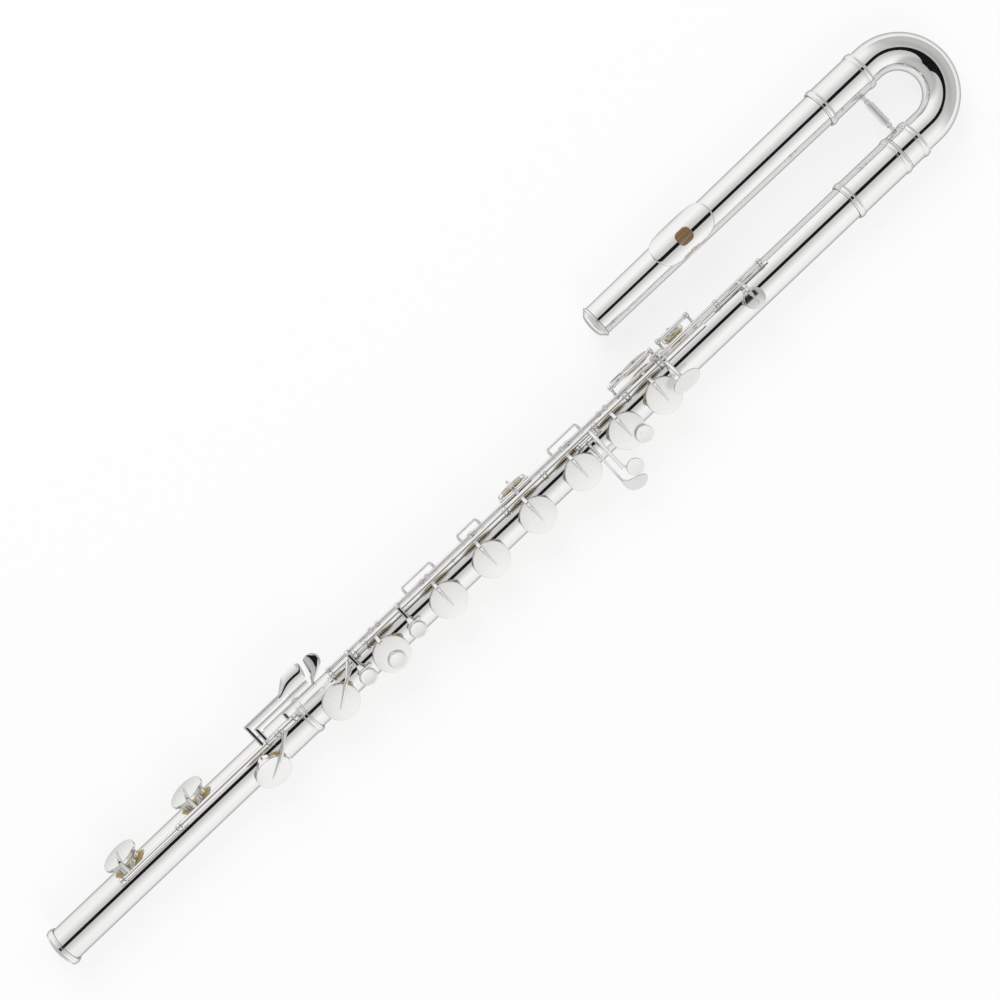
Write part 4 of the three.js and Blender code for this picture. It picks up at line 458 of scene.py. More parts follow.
brace_start = SLEEVE_RADIUS - FIT * 10
brace_end = AXIS_SPACING - brace_start
brace_half = (brace_end - brace_start) / 2
bead_place = brace_half * (1 - 2 * BEAD_SHARE)
bar_half = bead_place - BRACE_BEAD * 0.8
half_brace = [(0, BRACE_RADIUS), (bar_half - EDGE, BRACE_RADIUS), (bar_half, BRACE_RADIUS - EDGE),
              (bar_half, BRACE_NECK)]
half_brace += arc(bead_place, 0, BRACE_BEAD, 140, 35)
half_brace += [(brace_half - FLANGE_THICKNESS * 2, BRACE_NECK),
               (brace_half - FLANGE_THICKNESS, BRACE_NECK * 1.15),
               (brace_half - FLANGE_THICKNESS * 0.6, BRACE_FLANGE * 0.8), (brace_half, BRACE_FLANGE)]
brace_outline = [(-place, radius) for place, radius in reversed(half_brace[1:])] + half_brace
brace_outline = [(-brace_half, 0)] + brace_outline + [(brace_half, 0)]
brace_place = Matrix.Translation((middle("brace"), AXIS_SPACING / 2, 0)) @ Matrix.Rotation(math.pi / 2, 4, "Z")
brace = as_object("brace_turned", moved(lathe(brace_outline, 48), brace_place, body_place))
finished(brace, brushed_silver, "bend", ["brace"])

# The head joint tapers to the crown. Its bore is left unplated, so the brass shows brown through the
# embouchure hole, lit there by a painted glow. The hole is an oval with soft corners, undercut into the riser.
CROWN_END_RADIUS = 13.25 * mm
EMBOUCHURE_LENGTH = 14 * mm
EMBOUCHURE_WIDTH = 12.4 * mm
EMBOUCHURE_ROLL = 2
CORNER_SHARE = 0.72
RISER_WALL = 1.4 * mm
BRASS = (1.0, 0.84, 0.58, 1)
BRASS_SHADE = (0.2, 0.08, 0.03, 1)
# Painted light: the bore's brass glows faintly in its own streaked colour, standing in for light that bounces
# inside the bore, and the glowing streaks are painted reflections.
bore_brass_painted_glow = plated("bore_brass_painted_glow", BRASS, BRASS_SHADE, 0.2, 0.35, 420, 900, 0.01 * mm, WHITE_EDGE,
                    metal=0.6, along=0.03, glow=0.145)


def raised(bm, sheet, rise):
    """Closes a sheet of faces into a solid by carrying a copy of it up."""
    made = bmesh.ops.extrude_face_region(bm, geom=sheet, use_keep_orig=True)
    bmesh.ops.translate(bm, verts=only(bmesh.types.BMVert, made["geom"]), vec=(0, 0, rise))
    bmesh.ops.recalc_face_normals(bm, faces=bm.faces)
    return bm


def oval_post(half_length, half_width, low, high, steps=14):
    """An upright bar with an oval section that has soft corners."""
    bm = bmesh.new()
    corner = half_width * CORNER_SHARE
    rim = []
    for quarter, (sx, sy) in enumerate(((1, 1), (-1, 1), (-1, -1), (1, -1))):
        for i in range(steps):
            turn = math.pi / 2 * (quarter + i / (steps - 1))
            x = sx * (half_length - corner) + corner * math.cos(turn)
            rim.append(bm.verts.new((x, sy * (half_width - corner) + corner * math.sin(turn), low)))
    bmesh.ops.remove_doubles(bm, verts=rim, dist=0.001 * mm)
    return raised(bm, bmesh.ops.contextual_create(bm, geom=list(bm.verts))["faces"], high - low)


head_start, head_end = span("head_tube")
taper_end = span("head_sleeve")[0]
lip_middle = middle("lip_plate")
head_bore = TUBE_RADIUS - TUBE_WALL
head_outline = [
    (head_end, TUBE_RADIUS), (taper_end, TUBE_RADIUS), (head_start, CROWN_END_RADIUS),
    (head_start, CROWN_END_RADIUS - TUBE_WALL), (taper_end, head_bore), (head_end, head_bore),
]
mouth_place = hole_place(lip_middle, EMBOUCHURE_ROLL)
head_tube = as_object("head_tube_drawn", moved(lathe(head_outline), head_place))
cut_or_join(head_tube, "DIFFERENCE", moved(
    oval_post(EMBOUCHURE_LENGTH / 2 + RISER_WALL, EMBOUCHURE_WIDTH / 2 + RISER_WALL, 0, TUBE_RADIUS * 2),
    mouth_place, head_place))
head_tube.data.materials.append(mirror_silver)
head_tube.data.materials.append(bore_brass_painted_glow)
head_axis = head_place.translation
for face in head_tube.data.polygons:
    inward = Vector((0, face.center.y - head_axis.y, face.center.z - head_axis.z))
    face.material_index = int(face.normal.dot(inward) < 0)
finished(head_tube, mirror_silver, "head", ["head_tube"], 40)

# The lip plate, pressed from sheet and wrapped round the tube, stands on its riser. Its edge is thin and
# rounded, its plating is the brightest on the flute, and the hole's wall falls away below it in the bore's brown
# brass, with its painted glow.
LIP_LENGTH = 58 * mm
LIP_SPREAD = 70
LIP_ROLL = 14
LIP_RISE = 3.2 * mm
LIP_THICKNESS = 1.2 * mm
LIP_EDGE_SINK = 0.5 * mm
LIP_EDGE_POWER = 36
LIP_SOFT = 0.5 * mm
LIP_GRID = 96
LIP_OVAL_POWER = 2.35


def head_radius(x):
    share = min((x - head_start) / (taper_end - head_start), 1)
    return CROWN_END_RADIUS + (TUBE_RADIUS - CROWN_END_RADIUS) * share


lip_base = head_radius(lip_middle + LIP_LENGTH / 2)
lip_top = lip_base + LIP_RISE
lip = bmesh.new()
bmesh.ops.create_grid(lip, x_segments=LIP_GRID, y_segments=LIP_GRID, size=1)
for vert in lip.verts:
    across, side = vert.co.x, vert.co.y
    reach = max(abs(across), abs(side))
    length = math.hypot(across, side)
    grow = reach / length if length else 0
    out = Vector((across, side)) * grow
    power = (abs(out.x) ** LIP_OVAL_POWER + abs(out.y) ** LIP_OVAL_POWER) ** (1 / LIP_OVAL_POWER)
    fit = reach / power if power else 0
    out *= fit
    angle = LIP_ROLL + out.y * LIP_SPREAD
    low = LIP_EDGE_SINK * reach ** LIP_EDGE_POWER
    vert.co = around(angle, lip_top - low, lip_middle + out.x * LIP_LENGTH / 2)
bmesh.ops.recalc_face_normals(lip, faces=lip.faces)
lip_peak = Vector((lip_middle, 0, lip_top))
peak_face = min(lip.faces, key=lambda face: (face.calc_center_median() - lip_peak).length)
if peak_face.normal.z < 0:
    bmesh.ops.reverse_faces(lip, faces=lip.faces)
moved(lip, head_place)
lip_plate = as_object("lip_plate_pressed", lip)
wall = lip_plate.modifiers.new("wall", "SOLIDIFY")
wall.thickness = LIP_THICKNESS
wall.offset = -1
lip_plate.data = bpy.data.meshes.new_from_object(
    lip_plate.evaluated_get(bpy.context.evaluated_depsgraph_get()))
lip_plate.modifiers.clear()
soft_lip = bmesh.new()
soft_lip.from_mesh(lip_plate.data)
ease(soft_lip, LIP_SOFT, 3, 60).to_mesh(lip_plate.data)
soft_lip.free()
riser = as_object("riser", moved(oval_post(
    EMBOUCHURE_LENGTH / 2 + RISER_WALL - FIT, EMBOUCHURE_WIDTH / 2 + RISER_WALL - FIT, lip_base * 0.75,
    lip_top), mouth_place, head_place))
trim_start, trim_end = lip_middle - LIP_LENGTH, lip_middle + LIP_LENGTH
under_lip = cylinder(trim_start, trim_end, lip_top - LIP_THICKNESS / 2)
cut_or_join(riser, "INTERSECT", moved(under_lip, head_place))
trimmed = bmesh.new()
trimmed.from_mesh(riser.data)
bpy.data.objects.remove(riser)
cut_or_join(lip_plate, "UNION", trimmed)
tube_room = cylinder(trim_start, trim_end, lip_base - TUBE_WALL)
cut_or_join(lip_plate, "DIFFERENCE", moved(tube_room, head_place))
cut_or_join(lip_plate, "DIFFERENCE", moved(
    oval_post(EMBOUCHURE_LENGTH / 2, EMBOUCHURE_WIDTH / 2, 0, TUBE_RADIUS * 2), mouth_place, head_place))
lip_plate.data.materials.append(mirror_silver)
lip_plate.data.materials.append(bore_brass_painted_glow)
mouth = head_place @ mouth_place
for face in lip_plate.data.polygons:
    spot = mouth.inverted() @ face.center
    in_mouth = abs(spot.x) < EMBOUCHURE_LENGTH / 2 + FIT and abs(spot.y) < EMBOUCHURE_WIDTH / 2 + FIT
    upright = abs((mouth.inverted().to_3x3() @ face.normal).z) < 0.3
    face.material_index = int(in_mouth and upright)
finished(lip_plate, mirror_silver, "head", ["lip_plate"], 30, flats=False)
true_round(lip_plate, head_place, lip_top)

# Crown, cork and screw close the head. The crown is turned with a bead and a low stepped dome; inside, a
# waxed cork rides on a steel screw with a round plate.
CROWN_BEAD = 1.1 * mm
CROWN_SKIRT = 5 * mm
SKIRT_FIT = 0.4 * mm
CORK_BROWN = (0.42, 0.25, 0.12, 1)
CORK_DARK = (0.2, 0.1, 0.045, 1)
crown_start, crown_end = span("crown")
face_x = crown_end - CROWN_SKIRT
skirt = CROWN_END_RADIUS - TUBE_WALL - SKIRT_FIT
crown_rim = CROWN_END_RADIUS + CROWN_BEAD
crown_rise = face_x - crown_start
crown_shares = [(0.3, 0.9), (0.44, 0.87), (0.5, 0.82), (0.62, 0.78), (0.8, 0.66), (0.92, 0.46), (0.98, 0.24),
                (1, 0.0)]
crown_outline = [(crown_end, 0), (crown_end, skirt), (face_x, skirt), (face_x, crown_rim - CROWN_BEAD)]
crown_outline += arc(face_x - CROWN_BEAD, crown_rim - CROWN_BEAD, CROWN_BEAD, 0, 180)
dome = flowing([(face_x - crown_rise * along, crown_rim * out, 0) for along, out in crown_shares], 5)
crown_outline += [(point.x, max(point.y, 0)) for point in dome]
turned_part("crown", "crown", head_place, crown_outline, 96, 40)

cork, cork_tree, cork_shader = new_material("waxed_cork")
cork_spot = add_node(cork_tree, "TexCoord").outputs["Object"]
cork_cells = add_node(cork_tree, "TexVoronoi", Vector=cork_spot, Scale=900).outputs["Distance"]
set_inputs(cork_shader, Base_Color=colour_mix(cork_tree, cork_cells, CORK_BROWN, CORK_DARK), Roughness=0.8)
STEEL = (0.62, 0.62, 0.63, 1)
STEEL_SHADE = (0.42, 0.42, 0.43, 1)
rod_steel = plated("rod_steel", STEEL, STEEL_SHADE, 0.16, 0.3, 300, 2400, 0.01 * mm)

cork_start, cork_end = span("head_cork")
plate_start, plate_end = span("cork_screw")
CORK_PLATE = 1.2 * mm
SCREW_RADIUS = 2.5 * mm
THREAD_PITCH = 1 * mm
cork_radius = head_radius(cork_start) - TUBE_WALL - FIT
cork_waist = cork_radius * 0.96
cork_profile = [(cork_start, SCREW_RADIUS), (cork_start, cork_radius), (cork_start + 3 * mm, cork_radius),
                ((cork_start + cork_end) / 2, cork_waist), (cork_end - 3 * mm, cork_radius),
                (cork_end, cork_radius), (cork_end, SCREW_RADIUS)]
head_cork = as_object("head_cork_waxed", moved(ease(lathe(cork_profile, 64), EDGE, 2), head_place))
finished(head_cork, cork, "cork", ["head_cork"])
thread = [(plate_start, 0), (plate_start, SCREW_RADIUS * 0.8)]
turns = int((plate_end - CORK_PLATE - plate_start) / THREAD_PITCH)
for turn in range(turns):
    at = plate_start + turn * THREAD_PITCH
    thread += [(at + THREAD_PITCH / 2, SCREW_RADIUS - FIT), (at + THREAD_PITCH, SCREW_RADIUS * 0.85)]
thread += [(plate_end - CORK_PLATE, SCREW_RADIUS * 0.85), (plate_end - CORK_PLATE, cork_radius),
           (plate_end, cork_radius), (plate_end, 0)]
cork_screw = as_object("cork_screw_cut", moved(lathe(thread, 48), head_place))
finished(cork_screw, rod_steel, "cork", ["cork_screw"])

# Ribs and posts. A rib is a curved silver strap soldered to the tube; each post is turned with a foot, a
# waist and a ball, soldered to the rib and bored through for the rod or the tube that turns in it.
RIB_HEIGHT = 1.3 * mm
RIB_FROM, RIB_TO = 24, 49
UPPER_RIB_FROM = 36
SOCKET_RIB_HEIGHT = 0.8 * mm
FOOT_RIB_SPREAD = 8
RIB_MARGIN = 5 * mm
TAB_OVERLAP = 5
POST_BALL = 3.1 * mm
SMALL_BALL = 2.5 * mm
LEVER_BALL = 1.7 * mm
WAIST = 1.2 * mm
BALL_WIDTH_SHARE = 0.6
BORE_GAP = 0.06 * mm
MAIN_ROD, THIN_ROD = 1.2 * mm, 0.75 * mm
THIN_TUBE = 1.6 * mm
MAIN_TUBE = 2.75 * mm


def strap_round(from_angle, to_angle, start, end, under, height):
    """A strap curved round the tube, spun from its section and capped."""
    bm = bmesh.new()
    first = math.radians(from_angle)
    corners = [bm.verts.new((x, radius * math.sin(first), radius * math.cos(first)))
               for x, radius in ((start, under), (start, under + height), (end, under + height), (end, under))]
    section = bm.faces.new(corners)
    steps = max(4, int(abs(to_angle - from_angle) / 3))
    bmesh.ops.spin(bm, geom=[section, *section.edges, *corners], cent=(0, 0, 0), axis=(1, 0, 0),
                   angle=math.radians(from_angle - to_angle), steps=steps)
    bmesh.ops.recalc_face_normals(bm, faces=bm.faces)
    return ease(bm, 0.22 * mm, 2)


def post(x, hinge, ball, under):
    """A turned post: foot, waist and a ball whose two sides are faced off square to the rod."""
    reach = hinge.length
    angle = math.degrees(math.atan2(hinge.y, hinge.z))
    waist = min(WAIST, ball * 0.55)
    foot = waist * 1.75
    outline = [(under, 0), (under, foot), (under + 0.35 * mm, foot)]
    neck = flowing([(under + 0.7 * mm, waist * 1.25, 0), (under + (reach - under) * 0.4, waist * 0.86, 0),
                    (reach - ball * 0.95, waist, 0)], 3)
    outline += [(point.x, point.y) for point in neck]
    start = 180 - math.degrees(math.asin(waist / ball)) - 4
    outline += arc(reach, 0, ball, start, 4, 12)
    outline.append((reach + ball, 0))
    bm = lathe(outline, 28, "Z")
    half = ball * BALL_WIDTH_SHARE
    for side in (-1, 1):
        geom = list(bm.verts) + list(bm.edges) + list(bm.faces)
        made = bmesh.ops.bisect_plane(bm, geom=geom, plane_co=(side * half, 0, 0), plane_no=(side, 0, 0),
                                      clear_outer=True)
        rim = [item for item in made["geom_cut"] if isinstance(item, bmesh.types.BMEdge)]
        bmesh.ops.contextual_create(bm, geom=rim)
    bmesh.ops.recalc_face_normals(bm, faces=bm.faces)
    return moved(bm, hole_place(x, angle))


def bore_tool(x, hinge, radius):
    reach = 2 * POST_BALL
    return moved(cylinder(x - reach, x + reach, radius, 24), Matrix.Translation(hinge))


def pivot(joint):
    """A hinge line in the maker's frame."""
    spot = body_place.inverted() @ joint_at[joint]
    return Vector((0, spot.y, spot.z))


main_hinge = pivot("e_press")
thin_hinge = pivot("trill_press")
foot_hinge = pivot("c_foot_press")
g_sharp_hinge = pivot("g_sharp_open")
thumb_hinge = pivot("thumb_press")
trill_cup_hinge = pivot("trill_cup_open")
lever_hinge = pivot("g_sharp_press")

station = {name: middle(name + "_pad") for name in front_names}
end_post = station["d"] + 8.6 * mm
d_post = station["d"] + 32.7 * mm
main_posts = [end_post, d_post, station["e"] - 10.3 * mm, station["lower_g"] - 16.7 * mm,
              station["upper_g"] - 23.9 * mm, station["a"] - 16.1 * mm, station["b_flat"] - 21.8 * mm,
              station["b_flat"] + 15 * mm]
low_guide = station["e"] + 7.2 * mm
bridge_posts = [station["f"] - 5.9 * mm, station["f_sharp"] + 2.3 * mm, station["upper_g"] + 6.1 * mm]
high_guide = station["a"] - 7.1 * mm
trill_top = main_posts[-1]
c_sharp_x = middle("c_sharp_pad")
c_sharp_guide, c_sharp_end = c_sharp_x - 23.8 * mm, c_sharp_x + 23 * mm
g_sharp_posts = [middle("g_sharp_pad") + side * 13.5 * mm for side in (-1, 1)]
thumb_posts = [middle("thumb_pad") - 27.9 * mm, middle("thumb_pad") + 15 * mm]
trill_cup_posts = [middle("trill_cup_pad") - 14 * mm, middle("trill_cup_pad") + 17 * mm]
lever_x = station["upper_g"] + 17.9 * mm
lever_posts = [lever_x - 8.4 * mm, lever_x + 12.1 * mm]


def rib_with_posts(name, body, straps, lines):
    """Straps and posts soldered into one piece. Each line is (hinge, stations, ball, bore, under)."""
    parts, tools = list(straps), []
    for hinge, stations, ball, bore, under in lines:
        for x in stations:
            parts.append(post(x, hinge, ball, under))
            tools.append(bore_tool(x, hinge, bore + BORE_GAP))
    obj = as_object(name + "_soldered", moved(together(parts), body_place))
    cut_or_join(obj, "DIFFERENCE", moved(together(tools), body_place), crossing=True)
    return finished(obj, mirror_silver, body, [name])


def tab(x, from_angle, to_angle):
    return strap_round(from_angle, to_angle, x - RIB_MARGIN / 2, x + RIB_MARGIN / 2, TUBE_RADIUS, RIB_HEIGHT)


def lean(hinge):
    return math.degrees(math.atan2(hinge.y, hinge.z))


straps = [strap_round(RIB_FROM, RIB_TO, end_post - RIB_MARGIN, trill_cup_posts[1] + RIB_MARGIN, TUBE_RADIUS,
                      RIB_HEIGHT)]
for hinge, stations in ((g_sharp_hinge, g_sharp_posts), (thumb_hinge, thumb_posts),
                        (trill_cup_hinge, trill_cup_posts)):
    straps += [tab(x, RIB_TO - TAB_OVERLAP, lean(hinge) + TAB_OVERLAP) for x in stations]
straps += [tab(x, lean(lever_hinge) - TAB_OVERLAP, RIB_FROM + TAB_OVERLAP) for x in lever_posts]
on_rib = TUBE_RADIUS + RIB_HEIGHT / 2
rib_with_posts("main_post_rib", "body", straps, [
    (main_hinge, main_posts, POST_BALL, MAIN_ROD, on_rib),
    (thin_hinge, [end_post, *bridge_posts, trill_top], SMALL_BALL, THIN_ROD, on_rib),
    (thin_hinge, [low_guide, high_guide], SMALL_BALL, THIN_TUBE, on_rib),
    (g_sharp_hinge, g_sharp_posts, SMALL_BALL, THIN_ROD, on_rib),
    (thumb_hinge, thumb_posts, SMALL_BALL, THIN_ROD, on_rib),
    (trill_cup_hinge, trill_cup_posts, SMALL_BALL, THIN_ROD, on_rib),
    (lever_hinge, lever_posts, LEVER_BALL, THIN_ROD, on_rib),
])
upper_rib = strap_round(UPPER_RIB_FROM, RIB_TO, c_sharp_guide - RIB_MARGIN, c_sharp_end + RIB_MARGIN,
                        TUBE_RADIUS, RIB_HEIGHT)
rib_with_posts("upper_post_rib", "body", [upper_rib], [
    (thin_hinge, [c_sharp_guide], SMALL_BALL, THIN_TUBE, on_rib),
    (thin_hinge, [c_sharp_end], SMALL_BALL, THIN_ROD, on_rib),
])
c_foot_x, c_sharp_foot_x, d_sharp_foot_x = [middle(name + "_foot_pad") for name in ("c", "c_sharp", "d_sharp")]
foot_post_low, foot_post_middle = c_foot_x - 8.6 * mm, c_sharp_foot_x - 20.1 * mm
socket_low, socket_high = span("foot_tube")[1], span("foot_socket")[1]
foot_post_high, d_sharp_post = socket_low + 2.4 * mm, socket_high - 8.8 * mm
foot_lean = lean(foot_hinge)
foot_rib = strap_round(foot_lean - FOOT_RIB_SPREAD, foot_lean + FOOT_RIB_SPREAD, foot_post_low - RIB_MARGIN,
                       foot_post_middle + RIB_MARGIN, TUBE_RADIUS, RIB_HEIGHT)
rib_with_posts("foot_post_rib", "foot", [foot_rib], [
    (foot_hinge, [foot_post_low, foot_post_middle], POST_BALL, MAIN_ROD, on_rib)])
POST_HALF = 1.9 * mm
socket_rib = strap_round(foot_lean - FOOT_RIB_SPREAD, foot_lean + FOOT_RIB_SPREAD, foot_post_high - POST_HALF,
                         d_sharp_post + POST_HALF, SLEEVE_RADIUS - FIT, SOCKET_RIB_HEIGHT)
rib_with_posts("socket_post_rib", "foot", [socket_rib], [
    (foot_hinge, [foot_post_high, d_sharp_post], POST_BALL, MAIN_ROD, SLEEVE_RADIUS + SOCKET_RIB_HEIGHT / 2)])

# Steel rods and pivot screws on which the hinge tubes turn, drawn steel with fine rings left by the stone.
# Each rod ends in a domed head with a slot for the screwdriver.
SLOT_WIDTH = 0.45 * mm
SLOT_DEPTH = 0.5 * mm
HEAD_OVER = 0.25 * mm


def rod(name, hinge, body):
    start, end = span(name)
    radius = MAIN_ROD if name in ("d_rod", "main_rod", "d_sharp_rod") else THIN_ROD
    cap = radius + HEAD_OVER
    outline = [(start, 0), (start, cap * 0.6), (start + cap * 0.3, cap), (start + cap, cap),
               (start + cap, radius), (end - cap, radius), (end - cap, cap),
               (end - cap * 0.3, cap), (end, cap * 0.6), (end, 0)]
    place = Matrix.Translation(hinge)
    obj = as_object(name + "_drawn", moved(lathe(outline, 28), place, body_place))
    slots = []
    for at in (start, end):
        tool = bmesh.new()
        size = Matrix.Diagonal((2 * SLOT_DEPTH, SLOT_WIDTH, 4 * cap, 1))
        bmesh.ops.create_cube(tool, size=1, matrix=Matrix.Translation((at, 0, 0)) @ size)
        slots.append(moved(tool, place, body_place))
    cut_or_join(obj, "DIFFERENCE", together(slots))
    finished(obj, rod_steel, body, [name])


for rod_name, rod_hinge in (
        ("d_rod", main_hinge), ("main_rod", main_hinge), ("trill_rod", thin_hinge), ("g_sharp_rod", g_sharp_hinge),
        ("g_sharp_lever_rod", lever_hinge), ("thumb_rod", thumb_hinge), ("trill_cup_rod", trill_cup_hinge)):
    rod(rod_name, rod_hinge, "body")
rod("d_sharp_rod", foot_hinge, "foot")

# Cups and pads. A cup is pressed from sheet and turned true: a low dome, a rounded rim and a short skirt,
# satin from the buff. The pad in it is felt on card under two layers of goldbeater's skin.
HOLE_SEAT = TUBE_RADIUS + HOLE_RISE
SEAT_GAP = 0.3 * mm
PAD_THICKNESS = 3 * mm
PAD_PROUD = 1.1 * mm
CUP_WALL = 0.8 * mm
CUP_DOME = 1.1 * mm
CUP_EDGE = 0.7 * mm
RIM_SOFT = 0.12 * mm
KEY_OPEN = 10
THUMB_OPEN = 13
pad_bottom = HOLE_SEAT + SEAT_GAP
ceiling = pad_bottom + PAD_THICKNESS + SEAT_GAP
cup_rim = ceiling + CUP_WALL
cup_crest = cup_rim + CUP_DOME
satin_silver = plated("satin_silver", SATIN, SATIN_SHADE, 0.1, 0.15, 60, 700, 0.0005 * mm)
bright_silver = plated("bright_silver", SILVER, SILVER_SHADE, 0.05, 0.1, 120, 900, 0.0005 * mm)

SKIN_GOLD = (0.92, 0.72, 0.1, 1)
SKIN_PEACH = (0.98, 0.78, 0.42, 1)
SKIN_CREASE = 0.05 * mm
pad_skin, skin_tree, skin_shader = new_material("pad_skin")
skin_spot = add_node(skin_tree, "TexCoord").outputs["Object"]
skin_cloud = add_node(skin_tree, "TexNoise", Vector=skin_spot, Scale=180, Detail=5).outputs["Fac"]
skin_crease = add_node(skin_tree, "TexNoise", Vector=skin_spot, Scale=1400).outputs["Fac"]
skin_bump = add_node(skin_tree, "Bump", Height=skin_crease, Strength=0.5, Distance=SKIN_CREASE)
set_inputs(skin_shader, Base_Color=colour_mix(skin_tree, skin_cloud, SKIN_GOLD, SKIN_PEACH),
           Normal=skin_bump.outputs["Normal"], Roughness=0.42, Coat_Weight=0.4, Coat_Roughness=0.2)


def pin_in_cup_frame(angle, hinge):
    """A hinge as seen from a cup whose hole points straight up."""
    return turned_about_x(angle) @ hinge


def cup_place(angle, hinge, opened):
    """From a cup standing straight up on the tube to its own place, swung open on its hinge."""
    pin = Matrix.Translation(hinge)
    away = -math.copysign(1, pin_in_cup_frame(angle, hinge).y)
    return body_place @ pin @ turned_about_x(away * opened) @ pin.inverted() @ turned_about_x(-angle)


def cup(name, body, x, diameter, place, nodes, top=brushed_silver):
    radius = diameter / 2
    flat = radius - CUP_EDGE
    skirt_end = pad_bottom + PAD_PROUD
    domed = [(cup_rim + CUP_DOME * (1 - (flat * i / 10 / radius) ** 2.2), flat * i / 10) for i in range(11)]
    edge_top = domed[-1][0]
    turned_edge = [(edge_top - CUP_EDGE + CUP_EDGE * math.cos(math.pi / 2 * i / 6),
                    flat + CUP_EDGE * math.sin(math.pi / 2 * i / 6)) for i in range(1, 7)]
    inside = radius - CUP_WALL
    outline = domed + turned_edge + [(skirt_end, radius), (skirt_end, inside), (ceiling, inside), (ceiling, 0)]
    bm = ease(lathe(outline, 80, "Z"), RIM_SOFT, 2, 60)
    obj = as_object(name + "_cup", moved(bm, Matrix.Translation((x, 0, 0)), place))
    two_finishes(obj, place, top, bright_silver)
    finished(obj, top, body, nodes, 50)
    return obj


def pad(node, body, x, diameter, hole, place):
    """A puffed pad with the ring that the hole's rim has pressed into its skin."""
    radius = diameter / 2 - CUP_WALL - 0.08 * mm
    top = pad_bottom + PAD_THICKNESS
    puff = 0.9 * mm
    dent = 0.12 * mm
    outline = [(top, 0), (top, radius - puff / 2)]
    outline += [(height, out) for out, height in arc(radius - puff, top - puff, puff, 60, 0, 5)]
    outline += [(height, out) for out, height in arc(radius - puff, pad_bottom + puff, puff, 0, -90, 7)]
    outline += [(pad_bottom, hole + 0.8 * mm), (pad_bottom + dent, hole), (pad_bottom + dent, hole - HOLE_WALL),
                (pad_bottom, hole - HOLE_WALL - 0.6 * mm), (pad_bottom, 0)]
    obj = as_object(node + "_puffed", moved(lathe(outline, 72, "Z"), Matrix.Translation((x, 0, 0)), place))
    finished(obj, pad_skin, body, [node], 60)
    return obj


# Hinge tubes, arms and spines. Each key turns on a drawn tube with a collar at both ends; a filed arm rises
# from it, crosses the cup's edge and runs out on the dome as a tapered spine.
ARM_WIDTH = 3.2 * mm
ARM_HEIGHT = 1.6 * mm
SPINE_REACH = 5.5 * mm
SPINE_TIP = 0.4 * mm
EDGE_SHARE = 0.94
SPINE_START_SHARE = 0.7
COLLAR_OVER = 0.35 * mm
COLLAR_WIDTH = 1.6 * mm
TAIL_LENGTH = 7 * mm
BAR_SIDES = 20
ARM_SIDES = 28
ARM_SQUARENESS = 2.2
ARM_SOFT = 0.3 * mm


def hinge_tube(hinge, outer, inner, start, end):
    """A tube on a hinge line with a raised collar at each end."""
    wide = outer + COLLAR_OVER
    broad = min(COLLAR_WIDTH, (end - start) / 4)
    outline = [(start, inner), (start, wide), (start + broad, wide), (start + broad, outer),
               (end - broad, outer), (end - broad, wide), (end, wide), (end, inner)]
    return moved(ease(lathe(outline, 40), RIM_SOFT, 2, 50), Matrix.Translation(hinge), body_place)


def drawn_along(bm, section, line, frame_at):
    """Draws a capped section along a line. frame_at gives turn and size from (step, way, heading)."""
    face, last = bm.faces[:], None
    heading = (line[1] - line[0]).normalized()
    for i, spot in enumerate(line):
        after = (line[min(i + 1, len(line) - 1)] - line[min(i, len(line) - 2)]).normalized()
        if i:
            grown = bmesh.ops.extrude_face_region(bm, geom=face)["geom"]
            face, section = only(bmesh.types.BMFace, grown), only(bmesh.types.BMVert, grown)
            bmesh.ops.transform(bm, matrix=last.inverted(), verts=section)
        turn, size = frame_at(i, (heading + after).normalized(), heading)
        last = Matrix.Translation(spot) @ turn @ Matrix.Diagonal((*size, 1, 1))
        bmesh.ops.transform(bm, matrix=last, verts=section)
        heading = after
    bmesh.ops.holes_fill(bm, edges=bm.edges, sides=0)
    bmesh.ops.recalc_face_normals(bm, faces=bm.faces)
    return bm


def bar_along(points, start_radius, end_radius, flatten=1.0, sides=BAR_SIDES, tip=0.4):
    """A round bar drawn along a line of points, tapering, with its ends rounded over."""
    line = [Vector(point) for point in points]
    walked = [0]
    for a, b in zip(line, line[1:]):
        walked.append(walked[-1] + (b - a).length)

    def frame_at(i, way, heading):
        size = start_radius + (end_radius - start_radius) * (walked[i] / walked[-1])
        return level_frame(way), (size * flatten, size)

    bm = bmesh.new()
    section = bmesh.ops.create_circle(bm, cap_ends=True, segments=sides, radius=1)["verts"]
    drawn_along(bm, section, line, frame_at)
    return ease(bm, min(start_radius, end_radius) * tip, 3, 60)


def level_frame(heading):
    """A frame whose Z runs along a heading and whose X points as far up as it can."""
    up = Vector((0, 0, 1)) if abs(heading.z) < 0.95 else Vector((0, 1, 0))
    side = heading.cross(up).normalized()
    rise = side.cross(heading).normalized()
    return Matrix((rise, side, heading)).transposed().to_4x4()


def filed_arm(x, width, height, points):
    """A flat arm bent through (y, z) points, filed to a crowned section and rounded at its ends."""
    across = Vector((1, 0, 0))

    def frame_at(i, way, heading):
        rise = way.cross(across).normalized()
        stretch = 1 / max(way.dot(heading), 0.5)
        return Matrix((rise, across, way)).transposed().to_4x4(), (height * stretch, width)

    bm = bmesh.new()
    section = bmesh.ops.create_circle(bm, cap_ends=True, segments=ARM_SIDES, radius=0.5)["verts"]
    for vert in section:
        reach = sum(abs(part * 2) ** ARM_SQUARENESS for part in vert.co.xy) ** (1 / ARM_SQUARENESS)
        vert.co *= 1 / reach
    drawn_along(bm, section, [Vector((x, y, z)) for y, z in points], frame_at)
    return ease(bm, ARM_SOFT, 2, 60)


def smooth_line(points, steps=6):
    return [(point.x, point.y) for point in flowing([(y, z, 0) for y, z in points], steps)]


